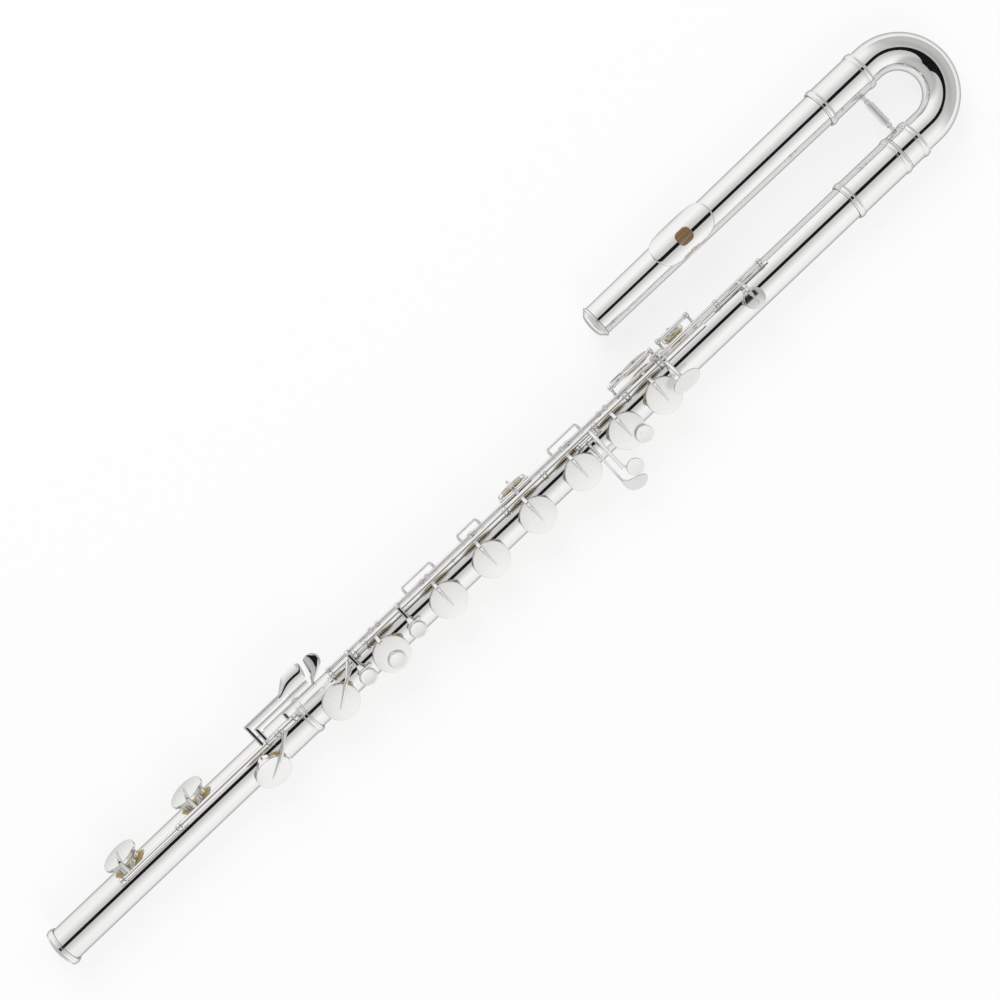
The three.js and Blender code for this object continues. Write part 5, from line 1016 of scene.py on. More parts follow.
def spine(x, from_x, start, end_reach, pin_y):
    """The tapered ridge that runs out on a cup's dome."""
    run = math.hypot(from_x - x, pin_y)
    ahead = Vector(((from_x - x) / run, pin_y / run, 0))
    centre = Vector((x, 0, 0))
    lift = cup_rim + ARM_HEIGHT * 0.55
    return bar_along([
        centre + ahead * start + Vector((0, 0, lift)),
        centre + ahead * (start - end_reach) / 2 + Vector((0, 0, cup_crest + ARM_HEIGHT * 0.12)),
        centre - ahead * end_reach + Vector((0, 0, cup_crest - SPINE_TIP * 0.4)),
    ], ARM_WIDTH * 0.42, SPINE_TIP, 0.85)


def straight_arm(x, diameter, angle, hinge, tube, ridged=True):
    """A strap square to the hinge that springs from the tube and lies down on the cup."""
    pin = pin_in_cup_frame(angle, hinge)
    side = math.copysign(1, pin.y)
    edge = diameter / 2 * EDGE_SHARE
    start = diameter / 2 * SPINE_START_SHARE
    lift = cup_rim + ARM_HEIGHT / 2
    root = [(pin.y, pin.z + tube * 0.6), ((pin.y + side * edge) / 2, max(lift, pin.z + tube * 0.8)),
            (side * edge, lift)]
    if not ridged:
        return [filed_arm(x, ARM_WIDTH, ARM_HEIGHT, smooth_line([
            *root, (side * (edge - ARM_WIDTH * 0.5), lift - ARM_HEIGHT * 0.4)], 4))]
    line = smooth_line([*root, (side * start, lift), (side * (start - ARM_WIDTH), lift - ARM_HEIGHT * 0.2)], 4)
    return [filed_arm(x, ARM_WIDTH, ARM_HEIGHT, line), spine(x, x, start, SPINE_REACH, pin.y)]


def slanting_arm(x, hub, diameter, angle, hinge, tube):
    """A round arm from a hub beside the cup, as on the D and D sharp keys."""
    pin = pin_in_cup_frame(angle, hinge)
    run = math.hypot(hub - x, pin.y)
    edge = diameter / 2 * EDGE_SHARE
    start = diameter / 2 * SPINE_START_SHARE
    lift = cup_rim + ARM_HEIGHT - ARM_WIDTH / 4

    def at(distance, z):
        return Vector((x + (hub - x) * distance / run, pin.y * distance / run, z))

    top = pin.z + tube + ARM_WIDTH / 2
    line = flowing([
        Vector((hub, pin.y, pin.z + tube * 0.7)), at(run * 0.93, top), at(edge + ARM_WIDTH, lift),
        at(start, lift),
    ], 5)
    return [bar_along(line, ARM_WIDTH * 0.5, ARM_WIDTH * 0.42, 0.85), spine(x, hub, start, SPINE_REACH, pin.y)]


def tail(x, hinge, tube):
    """The kicker behind a key that meets its neighbour over the thin rod."""
    start = tube * 0.6
    line = smooth_line([(start, tube * 0.3), ((start + TAIL_LENGTH) / 2, tube * 0.1), (TAIL_LENGTH, 0)], 3)
    return moved(filed_arm(x, ARM_WIDTH * 0.9, ARM_HEIGHT * 0.9, line), Matrix.Translation(hinge))


def arm_piece(name, body, parts, place=Matrix(), top=None, nodes=()):
    """Arms and tubes are polished all over; a touch keeps the finish that its top is given."""
    obj = as_object(name, moved(together(parts), place))
    if top:
        two_finishes(obj, place, top, bright_silver)
    return finished(obj, bright_silver, body, nodes)


FRONT_HOLE = hole_radius(LARGE_CUP)
END_GAP = 0.5 * mm
tube_gap = POST_HALF + END_GAP
e_end = station["e"] + (station["f"] - station["e"]) * 0.46
f_end = (station["f"] + station["f_sharp"]) / 2
front_runs = {
    "d": (end_post, d_post), "e": (main_posts[2], e_end + tube_gap),
    "f": (e_end + END_GAP - tube_gap, f_end + tube_gap),
    "f_sharp": (f_end + END_GAP - tube_gap, main_posts[3]), "lower_g": (main_posts[3], main_posts[4]),
    "upper_g": (main_posts[4], main_posts[5]), "a": (main_posts[5], main_posts[6]),
    "b_flat": (main_posts[6], main_posts[7]),
}
ROD_BORE_GAP = 0.15 * mm
D_HUB_ALONG = 24.9 * mm
front_place = cup_place(FRONT_ANGLE, main_hinge, KEY_OPEN)
for name in front_names:
    x = station[name]
    run_start, run_end = front_runs[name]
    cup(name, name, x, LARGE_CUP, front_place, [name + "_key"])
    pad(name + "_pad", name, x, LARGE_CUP, FRONT_HOLE, front_place)
    arm_piece(name + "_hinge_tube", name, [hinge_tube(
        main_hinge, MAIN_TUBE, MAIN_ROD + ROD_BORE_GAP, run_start + tube_gap, run_end - tube_gap)])
    if name == "d":
        parts = slanting_arm(x, x + D_HUB_ALONG, LARGE_CUP, FRONT_ANGLE, main_hinge, MAIN_TUBE)
        arm_piece(name + "_arm", name, parts, front_place)
    else:
        parts = straight_arm(x, LARGE_CUP, FRONT_ANGLE, main_hinge, MAIN_TUBE, ridged=name != "e")
        kicker = moved(tail(x, main_hinge, MAIN_TUBE), body_place)
        arm_piece(name + "_arm", name, [moved(together(parts), front_place), kicker])

# Needle springs. A tempered steel wire, ground to a point, is pressed into each post and runs under the hinge
# tube, where it pushes the key open. They are cut from straight wire and left bright.
NEEDLE_RADIUS = 0.3 * mm
NEEDLE_TIP = 0.12 * mm
NEEDLE_LENGTH = 24 * mm
NEEDLE_GAP = 0.15 * mm


def needle_springs(name, body, hinge, stations):
    below = hinge.length - MAIN_TUBE - COLLAR_OVER - NEEDLE_GAP - NEEDLE_RADIUS
    wires = []
    for x in stations:
        stem = hinge.normalized() * below + Vector((x, 0, 0))
        line = [stem + Vector((ahead, 0, 0)) for ahead in (0, NEEDLE_LENGTH / 2, NEEDLE_LENGTH)]
        wires.append(bar_along(line, NEEDLE_RADIUS, NEEDLE_TIP, sides=12))
    obj = as_object(name, moved(together(wires), body_place))
    finished(obj, rod_steel, body)


needle_springs("body_needle_springs", "body", main_hinge, main_posts[:-1])
needle_springs("foot_needle_springs", "foot", foot_hinge, [foot_post_low, foot_post_middle])

# Touches for the fingers: the button on the E cup, and the ring and middle fingers' discs beside their
# cups. Each is turned slightly hollow with a soft rim and buffed bright.
BUTTON_RADIUS = 7.5 * mm
BUTTON_HEIGHT = 3 * mm
BUTTON_REACH = 5.4 * mm
FINGER_RADIUS = 7.4 * mm
TOUCH_THICKNESS = 1.6 * mm
MIDDLE_TOUCH_ALONG = 8.4 * mm
MIDDLE_TOUCH_REACH = 10.6 * mm
TOUCH_RISE = 1.4 * mm
LINK_RADIUS = 1.1 * mm
RING_ARM_ABOVE_G = 24.7 * mm
RING_TOUCH_ALONG = 7.6 * mm
RING_ARM_RISE = 7.5 * mm
RING_TOUCH_REACH = 25 * mm
RING_ARM_REACH = 19.5 * mm
HOLLOW, DEEP_HOLLOW = 0.25 * mm, 0.4 * mm


def finger_disc(radius, thickness, hollow=HOLLOW):
    """A round touch standing on its underside, its top hollowed a little inside a soft rim."""
    soft = thickness * 0.45
    outline = [(thickness - hollow, 0), (thickness - hollow * 0.9, radius * 0.4),
               (thickness - hollow * 0.4, radius * 0.72), (thickness, radius - soft)]
    outline += [(height, out) for out, height in arc(radius - soft, thickness - soft, soft, 80, -60, 7)]
    outline += [(0, radius - soft * 1.4), (0, 0)]
    return lathe(outline, 56, "Z")


button = moved(finger_disc(BUTTON_RADIUS, BUTTON_HEIGHT + CUP_WALL / 2, DEEP_HOLLOW),
               Matrix.Translation((station["e"], -BUTTON_REACH, cup_rim - CUP_WALL / 2)))
arm_piece("e_button", "e", [button], front_place, brushed_silver)

disc_z = cup_crest + TOUCH_RISE
middle_x = station["a"] + MIDDLE_TOUCH_ALONG
middle_parts = [
    moved(finger_disc(FINGER_RADIUS, TOUCH_THICKNESS),
          Matrix.Translation((middle_x, -MIDDLE_TOUCH_REACH, disc_z - TOUCH_THICKNESS / 2))),
    bar_along([(middle_x - LINK_RADIUS * 2, -MIDDLE_TOUCH_REACH + LINK_RADIUS * 2, cup_rim + CUP_DOME / 2),
               (middle_x - LINK_RADIUS, -MIDDLE_TOUCH_REACH + LINK_RADIUS, disc_z - TOUCH_THICKNESS * 0.2)],
              LINK_RADIUS * 2, LINK_RADIUS * 2),
]
arm_piece("middle_finger_touch", "a", middle_parts, front_place, brushed_silver)

ring_arm_x = station["upper_g"] + RING_ARM_ABOVE_G
ring_touch_x = ring_arm_x + RING_TOUCH_ALONG
ring_pin = pin_in_cup_frame(FRONT_ANGLE, main_hinge)
ring_arm_root = ring_pin.y + SEAT_GAP + ARM_HEIGHT / 2
ring_parts = [
    filed_arm(ring_arm_x, ARM_WIDTH, ARM_HEIGHT, [
        (ring_arm_root, ring_pin.z), (ring_arm_root, ring_pin.z + RING_ARM_RISE),
        (LARGE_CUP / 2, disc_z), (-RING_ARM_REACH, disc_z)]),
    bar_along([(ring_arm_x, -RING_ARM_REACH + ARM_WIDTH / 2, disc_z), (ring_touch_x, -RING_TOUCH_REACH, disc_z)],
              LINK_RADIUS, LINK_RADIUS, 0.7),
    moved(finger_disc(FINGER_RADIUS, TOUCH_THICKNESS),
          Matrix.Translation((ring_touch_x, -RING_TOUCH_REACH, disc_z))),
]
arm_piece("ring_finger_touch", "upper_g", ring_parts, front_place, brushed_silver)

# C sharp key: the index finger's oval plate, far down the flute, turns the small cup near the bend through
# one long tube on the thin rod. The plate's arm rises over the main tubes and comes down to the finger.
INDEX_ARM_ABOVE_POST = 3.7 * mm
INDEX_PLATE_AHEAD = 1.1 * mm
INDEX_PLATE_LENGTH = 25.5 * mm
INDEX_PLATE_WIDTH = 13 * mm
INDEX_PLATE_REACH = 28.5 * mm
TOUCH_CLEARANCE = 7 * mm
ARM_CLEARANCE = 1.6 * mm
REST_TILT = 20
THIN_POST_GAP = SMALL_BALL * BALL_WIDTH_SHARE + END_GAP
over_main = main_hinge.z - thin_hinge.z + MAIN_TUBE + ARM_HEIGHT / 2 + ARM_CLEARANCE
beyond_main = main_hinge.y - thin_hinge.y - MAIN_TUBE


def closed_line(points, steps=4):
    """A smooth closed outline through a few (x, y) points."""
    wrapped = [points[-1], *points, points[0], points[1]]
    line = flowing([(x, y, 0) for x, y in wrapped], steps)
    return [(point.x, point.y) for point in line[steps:-steps]][:-1]


def touch_plate(outline, thickness, soft=0.5 * mm):
    """A plate cut to an outline, its edges rounded over."""
    bm = bmesh.new()
    sheet = [bm.faces.new([bm.verts.new((x, y, 0)) for x, y in outline])]
    return ease(raised(bm, sheet, thickness), soft, 4, 60)


def oval(half_length, half_width, steps=48):
    return [(half_length * math.cos(2 * math.pi * i / steps), half_width * math.sin(2 * math.pi * i / steps))
            for i in range(steps)]


def level_place(hinge, x=0.0, y=0.0, z=0.0, tilt=0):
    """A place reckoned from a hinge line, for parts that aren't swung with a cup."""
    return body_place @ Matrix.Translation((x, hinge.y + y, hinge.z + z)) @ turned_about_x(tilt)


c_sharp_place = cup_place(SMALL_HOLE_ANGLE, thin_hinge, KEY_OPEN)
cup("c_sharp", "c_sharp", c_sharp_x, SMALL_CUP, c_sharp_place, ["c_sharp_key"], satin_silver)
pad("c_sharp_pad", "c_sharp", c_sharp_x, SMALL_CUP, hole_radius(SMALL_CUP), c_sharp_place)
arm_piece("c_sharp_hinge_tube", "c_sharp", [hinge_tube(
    thin_hinge, THIN_TUBE, THIN_ROD + ROD_BORE_GAP, trill_top + THIN_POST_GAP, c_sharp_end - THIN_POST_GAP)])
arm_piece("c_sharp_arm", "c_sharp", straight_arm(
    c_sharp_x, SMALL_CUP, SMALL_HOLE_ANGLE, thin_hinge, THIN_TUBE), c_sharp_place)
plate_z = over_main + TOUCH_CLEARANCE
index_x = trill_top + INDEX_ARM_ABOVE_POST
index_arm = filed_arm(index_x, ARM_WIDTH, ARM_HEIGHT, smooth_line([
    (THIN_TUBE / 2, THIN_TUBE / 2), (THIN_TUBE / 2, over_main - ARM_HEIGHT), (-ARM_HEIGHT, over_main),
    (beyond_main, over_main), (-INDEX_PLATE_REACH + INDEX_PLATE_WIDTH * 0.6, plate_z - TOUCH_THICKNESS * 0.2),
    (-INDEX_PLATE_REACH, plate_z - TOUCH_THICKNESS / 2)], 5))
index_plate = touch_plate(oval(INDEX_PLATE_LENGTH / 2, INDEX_PLATE_WIDTH / 2), TOUCH_THICKNESS)
arm_piece("index_finger_arm", "c_sharp", [index_arm], level_place(thin_hinge))
index_place = level_place(thin_hinge, index_x + INDEX_PLATE_AHEAD, -INDEX_PLATE_REACH,
                          plate_z - TOUCH_THICKNESS, REST_TILT)
arm_piece("index_finger_plate", "c_sharp", [index_plate], index_place, brushed_silver)

# The trill key: two round touches between the right hand's cups, on one thin tube. Where posts stand in the
# way the tube is cut, and a wire bridge soldered behind carries the motion past.
LOW_TOUCH_BELOW_POST = 3.5 * mm
TRILL_TOUCH_RADIUS = 7.4 * mm
TRILL_TOUCH_HEIGHT = 3.2 * mm
TRILL_TOUCH_REACH = 24.4 * mm
TRILL_TOUCH_DROP = 0.6 * mm
BRIDGE_OFFSET = 7.2 * mm
BRIDGE_RADIUS = 1.1 * mm
BRIDGE_HALVES = [15 * mm, 10 * mm, 15 * mm]
BRIDGE_LEAN = 74
FINGER_REACH = 3.4 * mm
FINGER_LIFT = 2.4 * mm
FINGER_STOP = 2.5 * mm
trill_stops = [end_post, *bridge_posts, trill_top]
arm_piece("trill_hinge_tubes", "trill", [
    hinge_tube(thin_hinge, THIN_TUBE, THIN_ROD + ROD_BORE_GAP, low + THIN_POST_GAP, high - THIN_POST_GAP)
    for low, high in zip(trill_stops, trill_stops[1:])], nodes=["trill_key"])
wires = []
for x, half in zip(bridge_posts, BRIDGE_HALVES):
    out = around(BRIDGE_LEAN, BRIDGE_OFFSET)
    corner = BRIDGE_RADIUS * 1.6
    foot_low, foot_high = Vector((x - half, 0, 0)), Vector((x + half, 0, 0))
    wires.append(bar_along([
        foot_low + out * 0.15, foot_low + out * 0.72, foot_low + out * 0.93 + Vector((corner * 0.35, 0, 0)),
        foot_low + out + Vector((corner, 0, 0)), foot_high + out - Vector((corner, 0, 0)),
        foot_high + out * 0.93 - Vector((corner * 0.35, 0, 0)), foot_high + out * 0.72, foot_high + out * 0.15],
        BRIDGE_RADIUS, BRIDGE_RADIUS, sides=14))
finger_x = trill_top - THIN_POST_GAP - BRIDGE_RADIUS
finger_tip = trill_cup_posts[0] - FINGER_STOP
wires.append(bar_along([
    (finger_x, FINGER_REACH * 0.2, FINGER_LIFT * 0.2), (finger_x, FINGER_REACH * 0.8, FINGER_LIFT * 0.8),
    (finger_x + BRIDGE_RADIUS, FINGER_REACH, FINGER_LIFT), (finger_tip, FINGER_REACH, FINGER_LIFT)],
    BRIDGE_RADIUS, BRIDGE_RADIUS, sides=14))
arm_piece("trill_bridges", "trill", wires, level_place(thin_hinge))
disc_rise = over_main - TRILL_TOUCH_DROP
touch_stations = {"low": d_post - LOW_TOUCH_BELOW_POST, "high": e_end}
for height, x in touch_stations.items():
    arm = filed_arm(x, ARM_WIDTH, ARM_HEIGHT, smooth_line([
        (THIN_TUBE / 2, THIN_TUBE / 2), (THIN_TUBE / 2, over_main - ARM_HEIGHT), (-ARM_HEIGHT, over_main),
        (beyond_main, over_main), (-TRILL_TOUCH_REACH + TRILL_TOUCH_RADIUS * 0.7, disc_rise)], 5))
    gusset = touch_plate([
        (-ARM_WIDTH * 0.5, TRILL_TOUCH_RADIUS + ARM_WIDTH * 1.4), (-ARM_WIDTH, TRILL_TOUCH_RADIUS * 0.6),
        (ARM_WIDTH, TRILL_TOUCH_RADIUS * 0.6), (ARM_WIDTH * 0.5, TRILL_TOUCH_RADIUS + ARM_WIDTH * 1.4)],
        ARM_HEIGHT * 0.8, ARM_SOFT)
    place = level_place(thin_hinge, x, -TRILL_TOUCH_REACH, disc_rise - TOUCH_THICKNESS / 2, REST_TILT)
    arm_piece(height + "_trill_arm", "trill", [arm], level_place(thin_hinge))
    disc = finger_disc(TRILL_TOUCH_RADIUS, TRILL_TOUCH_HEIGHT, DEEP_HOLLOW)
    arm_piece(height + "_trill_touch", "trill", [disc, gusset], place, satin_silver)

# Keys on the far side of the tube: the G sharp cup, whose arm comes round from a hinge behind its pad, the
# thumb cup with the B flat lever beside it, and the small trill cup. Two of them carry a stud for a bumper.
SIDE_TUBE = 1.6 * mm
STUD_RADIUS = 1.2 * mm
STUD_HEIGHT = 4.4 * mm
THUMB_SPLIT_BELOW = 12.5 * mm
THUMB_LEVER_LENGTH = 13 * mm
SIDE_HOLE = hole_radius(SIDE_CUP, SIDE_HOLE_SHARE)


def stud(x):
    """A peg on a cup's crest, waisted and domed."""
    top = cup_crest + STUD_HEIGHT
    outline = [(cup_rim, 0), (cup_rim, STUD_RADIUS * 1.5), (cup_crest + STUD_RADIUS * 0.4, STUD_RADIUS * 1.5),
               (cup_crest + STUD_RADIUS, STUD_RADIUS * 0.85), (top - STUD_RADIUS, STUD_RADIUS * 0.85)]
    outline += [(height, out) for out, height in arc(0, top - STUD_RADIUS, STUD_RADIUS, 0, 90, 6)]
    return moved(lathe(outline, 24, "Z"), Matrix.Translation((x, 0, 0)))


def side_key(name, x, diameter, angle, hinge, opened, hole, run, arms, extras=()):
    place = cup_place(angle, hinge, opened)
    cup(name, name_body[name], x, diameter, place, [name + "_key"])
    pad(name + "_pad", name_body[name], x, diameter, hole, place)
    tube = hinge_tube(hinge, SIDE_TUBE, THIN_ROD + ROD_BORE_GAP, *run)
    arm_piece(name + "_hinge_tube", name_body[name], [tube])
    arm_piece(name + "_arm", name_body[name], [*arms, *extras], place)


name_body = {"g_sharp": "g_sharp_cup", "thumb": "thumb", "trill_cup": "trill_cup"}
g_sharp_x, thumb_x, trill_cup_x = [middle(name + "_pad") for name in ("g_sharp", "thumb", "trill_cup")]
g_pin = pin_in_cup_frame(G_SHARP_ANGLE, g_sharp_hinge)
g_edge = -(SIDE_CUP / 2 + SEAT_GAP + ARM_HEIGHT / 2)
g_top = cup_rim + ARM_HEIGHT / 2
edge_arm = filed_arm(g_sharp_x, ARM_WIDTH, ARM_HEIGHT, smooth_line([
    (g_pin.y, g_pin.z + SIDE_TUBE * 0.3), ((g_pin.y + g_edge) / 2, g_pin.z + SIDE_TUBE * 0.3),
    (g_edge, g_pin.z + ARM_HEIGHT), (g_edge, cup_rim - ARM_HEIGHT / 2), (g_edge + ARM_HEIGHT, g_top),
    (g_edge * SPINE_START_SHARE, g_top), (-ARM_WIDTH, cup_crest - ARM_HEIGHT * 0.2)], 4))
side_key("g_sharp", g_sharp_x, SIDE_CUP, G_SHARP_ANGLE, g_sharp_hinge, 0, SIDE_HOLE,
         (g_sharp_posts[0] + POST_HALF, g_sharp_posts[1] - POST_HALF), [edge_arm], [stud(g_sharp_x)])
thumb_split = thumb_x - THUMB_SPLIT_BELOW
side_key("thumb", thumb_x, SIDE_CUP, THUMB_ANGLE, thumb_hinge, THUMB_OPEN, SIDE_HOLE,
         (thumb_split + END_GAP / 2, thumb_posts[1] - tube_gap),
         straight_arm(thumb_x, SIDE_CUP, THUMB_ANGLE, thumb_hinge, SIDE_TUBE))
side_key("trill_cup", trill_cup_x, TRILL_CUP, TRILL_CUP_ANGLE, trill_cup_hinge, 0,
         hole_radius(TRILL_CUP), (trill_cup_posts[0] + POST_HALF, trill_cup_posts[1] - POST_HALF),
         straight_arm(trill_cup_x, TRILL_CUP, TRILL_CUP_ANGLE, trill_cup_hinge, SIDE_TUBE), [stud(trill_cup_x)])

lever_from, lever_to = thumb_posts[0] + tube_gap, thumb_split
lever_mid = (lever_from + lever_to) / 2
lever_wide = lever_to - lever_from - POST_HALF
arm_piece("thumb_b_flat_hinge_tube", "thumb_b_flat", [hinge_tube(
    thumb_hinge, SIDE_TUBE, THIN_ROD + ROD_BORE_GAP, lever_from, lever_to - END_GAP / 2)],
    nodes=["thumb_b_flat_lever"])
b_flat_outline = closed_line([
    (-lever_wide / 2, 0), (-lever_wide / 2, THUMB_LEVER_LENGTH * 0.8), (-lever_wide * 0.3, THUMB_LEVER_LENGTH),
    (lever_wide * 0.3, THUMB_LEVER_LENGTH), (lever_wide / 2, THUMB_LEVER_LENGTH * 0.8), (lever_wide / 2, 0),
    (lever_wide * 0.2, -ARM_HEIGHT), (-lever_wide * 0.2, -ARM_HEIGHT)], 5)
b_flat_plate = moved(touch_plate(b_flat_outline, TOUCH_THICKNESS), Matrix.Rotation(-math.pi / 2, 4, "X"))
arm_piece("thumb_b_flat_touch", "thumb_b_flat", [
    moved(b_flat_plate, level_place(thumb_hinge, lever_mid, SIDE_TUBE * 2 - TOUCH_THICKNESS / 2, 0)),
    moved(filed_arm(lever_mid, ARM_WIDTH, ARM_HEIGHT, smooth_line([
        (0, SIDE_TUBE), (SIDE_TUBE * 1.3, SIDE_TUBE * 0.8), (SIDE_TUBE * 2, -SIDE_TUBE),
        (SIDE_TUBE * 2, -THUMB_LEVER_LENGTH / 2)], 4)), level_place(thumb_hinge))])

# The G sharp lever: a long thin arm on its own short rod, filed down to a spatula for the left little finger.
# It is cut from sheet, its edges rounded and its top buffed.
LEVER_ARM_WIDTH = 2.2 * mm
LEVER_REACH = 42 * mm
LEVER_DROP = 13 * mm
LEVER_KNEE_SHARE = 0.33
SPATULA_LENGTH = 18.5 * mm
SPATULA_WIDTH = 15 * mm
spatula_shares = [(0, 1), (0, 0.45), (0.16, 0.16), (0.42, 0), (0.68, 0), (0.9, 0.12), (1, 0.3), (0.92, 0.48),
                  (0.76, 0.6), (0.5, 0.7), (0.25, 0.82), (0.12, 1)]
arm_piece("g_sharp_lever_tube", "g_sharp_touch", [hinge_tube(
    lever_hinge, SIDE_TUBE, THIN_ROD + ROD_BORE_GAP, lever_posts[0] + POST_HALF, lever_posts[1] - POST_HALF)],
    nodes=["g_sharp_lever"])
lever_arm = filed_arm(lever_x, LEVER_ARM_WIDTH, ARM_HEIGHT, smooth_line([
    (0, SIDE_TUBE * 0.5), (-SIDE_TUBE * 2, SIDE_TUBE * 0.6), (-LEVER_REACH * 0.3, -LEVER_DROP * 0.08),
    (-LEVER_REACH / 2, -LEVER_DROP * LEVER_KNEE_SHARE), (-LEVER_REACH * 0.8, -LEVER_DROP * 0.78),
    (-LEVER_REACH - TOUCH_THICKNESS, -LEVER_DROP + TOUCH_THICKNESS / 2)], 5))
spatula_left = lever_x - LEVER_ARM_WIDTH / 2
spatula_outline = closed_line([(spatula_left + along * SPATULA_LENGTH, (up - 1) * SPATULA_WIDTH)
                               for along, up in spatula_shares], 4)
spatula_place = level_place(lever_hinge, 0, -LEVER_REACH, -LEVER_DROP, REST_TILT * 0.8)
spatula = touch_plate(spatula_outline, TOUCH_THICKNESS)
arm_piece("g_sharp_lever_arm", "g_sharp_touch", [lever_arm], level_place(lever_hinge))
arm_piece("g_sharp_spatula", "g_sharp_touch", [spatula], spatula_place, brushed_silver)

# Foot keys. The C key turns with a rod that runs through the C sharp key's tube to a touch of its own; the
# D sharp key sits on the near side. Their spoons lie side by side under the right little finger.
C_TUBE = 1.9 * mm
SPOON_INSET = 3.6 * mm
SPOON_LENGTH = 23.8 * mm
SPOON_SPACING = 1.2 * mm
D_SPOON_LENGTH = 15.2 * mm
TOUCH_BAR_INNER, TOUCH_BAR_OUTER, SPOON_OUTER = 16.9 * mm, 22 * mm, 31 * mm
C_BAR_INNER, C_BAR_OUTER = 11.4 * mm, 15.8 * mm
D_BAR_INNER, D_BAR_OUTER, D_SPOON_OUTER = 6.4 * mm, 10 * mm, 29 * mm
TOUCH_LIFT = 1.2 * mm
SPOON_NECK = 4 * mm
SPOON_RUN = 29 * mm
FAN_LEAD = 4 * mm
BAR_TRIM = 0.6 * mm
CURL_SHARE = 0.16
FAN_CURL = 0.34
CURL_STEPS = 18
c_sharp_touch_x, c_touch_x = foot_post_high - 14.6 * mm, foot_post_high - 9.8 * mm
d_sharp_hub, d_sharp_touch_x = foot_post_high + 4.8 * mm, d_sharp_post - 4.7 * mm
spoon_start = socket_high - SPOON_INSET
spoon_end = spoon_start + SPOON_LENGTH
d_spoon_start = spoon_end + SPOON_SPACING
d_spoon_end = d_spoon_start + D_SPOON_LENGTH
c_tube_end = c_sharp_touch_x + ARM_WIDTH


def blend(low, high, share):
    return low + (high - low) * share


def touch_arm(x, reach):
    return filed_arm(x, ARM_WIDTH, ARM_HEIGHT, smooth_line([
        (0, TOUCH_LIFT), (MAIN_TUBE, TOUCH_LIFT + TOUCH_THICKNESS * 0.3),
        (reach - ARM_WIDTH / 2, TOUCH_LIFT + TOUCH_THICKNESS / 2)], 4))


def curled_plate(stations, thickness, crest, curl=CURL_SHARE, upright=False):
    """A plate whose section arches over, drawn through stations of (along, low edge, high edge)."""
    rows = flowing(stations, 5)
    bm = bmesh.new()
    bmesh.ops.create_grid(bm, x_segments=len(rows) - 1, y_segments=CURL_STEPS, size=1)
    for vert in bm.verts:
        reach = (vert.co.x + 1) / 2 * (len(rows) - 1)
        before = min(int(reach), len(rows) - 2)
        along, low, high = rows[before].lerp(rows[before + 1], reach - before)
        share = (vert.co.y + 1) / 2
        drop = curl * (high - low) * ((share - crest) / max(crest, 1 - crest)) ** 2
        side = blend(low, high, share)
        vert.co = (side, along, -drop) if upright else (along, side, -drop)
    return ease(raised(bm, bm.faces[:], -thickness), ARM_SOFT, 3, 55)


def foot_key(name, x, angle, opened, tubes, touches, hub=None, tube=MAIN_TUBE):
    place = cup_place(angle, foot_hinge, opened)
    cup(name, name, x, LARGE_CUP, place, [name + "_key"])
    pad(name + "_pad", name, x, LARGE_CUP, FRONT_HOLE, place)
    arm_piece(name + "_hinge_tube", name, tubes)
    if hub:
        arms = slanting_arm(x, hub, LARGE_CUP, angle, foot_hinge, tube)
    else:
        arms = straight_arm(x, LARGE_CUP, angle, foot_hinge, tube)
    arm_piece(name + "_arm", name, arms, place)
    touch_x, reach, plates = touches
    touch_place = level_place(foot_hinge, 0, 0, TOUCH_LIFT + TOUCH_THICKNESS)
    arm_piece(name + "_touch_arm", name, [touch_arm(touch_x, reach)], level_place(foot_hinge))
    arm_piece(name + "_touch_bar", name, plates[:1], touch_place, brushed_silver)
    if plates[1:]:
        arm_piece(name + "_spoon", name, plates[1:], touch_place)


c_sharp_touch_from = c_sharp_touch_x - ARM_WIDTH / 2
c_touch_from = c_touch_x - ARM_WIDTH / 2
d_touch_from = d_sharp_touch_x - ARM_WIDTH / 2
leaf_start = spoon_start - SPOON_NECK
leaf_reach = SPOON_OUTER - TOUCH_BAR_INNER - FIT
leaf = [(leaf_start + along * SPOON_RUN, TOUCH_BAR_INNER + low * leaf_reach,
         TOUCH_BAR_INNER + high * leaf_reach)
        for along, low, high in [
            (0, 0, 0.36), (0.08, 0, 0.42), (0.25, 0, 0.7), (0.39, 0, 0.91), (0.54, 0, 0.99), (0.7, 0, 1.0),
            (0.86, 0, 0.97), (0.93, 0.25, 0.94), (0.975, 0.52, 0.9), (1.0, 0.7, 0.85)]]
foot_key("c_foot", c_foot_x, FOOT_BACK_ANGLE, KEY_OPEN, [
    hinge_tube(foot_hinge, C_TUBE, MAIN_ROD - FIT, foot_post_low + tube_gap, foot_post_middle - tube_gap),
    hinge_tube(foot_hinge, C_TUBE, MAIN_ROD - FIT, c_tube_end + END_GAP, foot_post_high - tube_gap),
], (c_touch_x, C_BAR_OUTER, [curled_plate([
    (c_touch_from, C_BAR_INNER + BAR_TRIM, C_BAR_OUTER - BAR_TRIM),
    (leaf_start, C_BAR_INNER + BAR_TRIM, C_BAR_OUTER - BAR_TRIM),
    (leaf_start + SPOON_RUN * 0.25, C_BAR_INNER, C_BAR_OUTER),
    (leaf_start + SPOON_RUN * 0.78, C_BAR_INNER, C_BAR_OUTER),
    (leaf_start + SPOON_RUN * 0.83, C_BAR_INNER + 2 * BAR_TRIM, C_BAR_OUTER - 2 * BAR_TRIM)],
    TOUCH_THICKNESS, 0.7)]), tube=C_TUBE)
C_ROD_SOFT = 0.2 * mm
c_rod_blank = cylinder(foot_post_low - POST_HALF, foot_post_high - END_GAP, MAIN_ROD - FIT, 32)
c_rod = as_object("c_foot_rod", moved(ease(c_rod_blank, C_ROD_SOFT, 2, 50), level_place(foot_hinge)))
finished(c_rod, rod_steel, "c_foot")
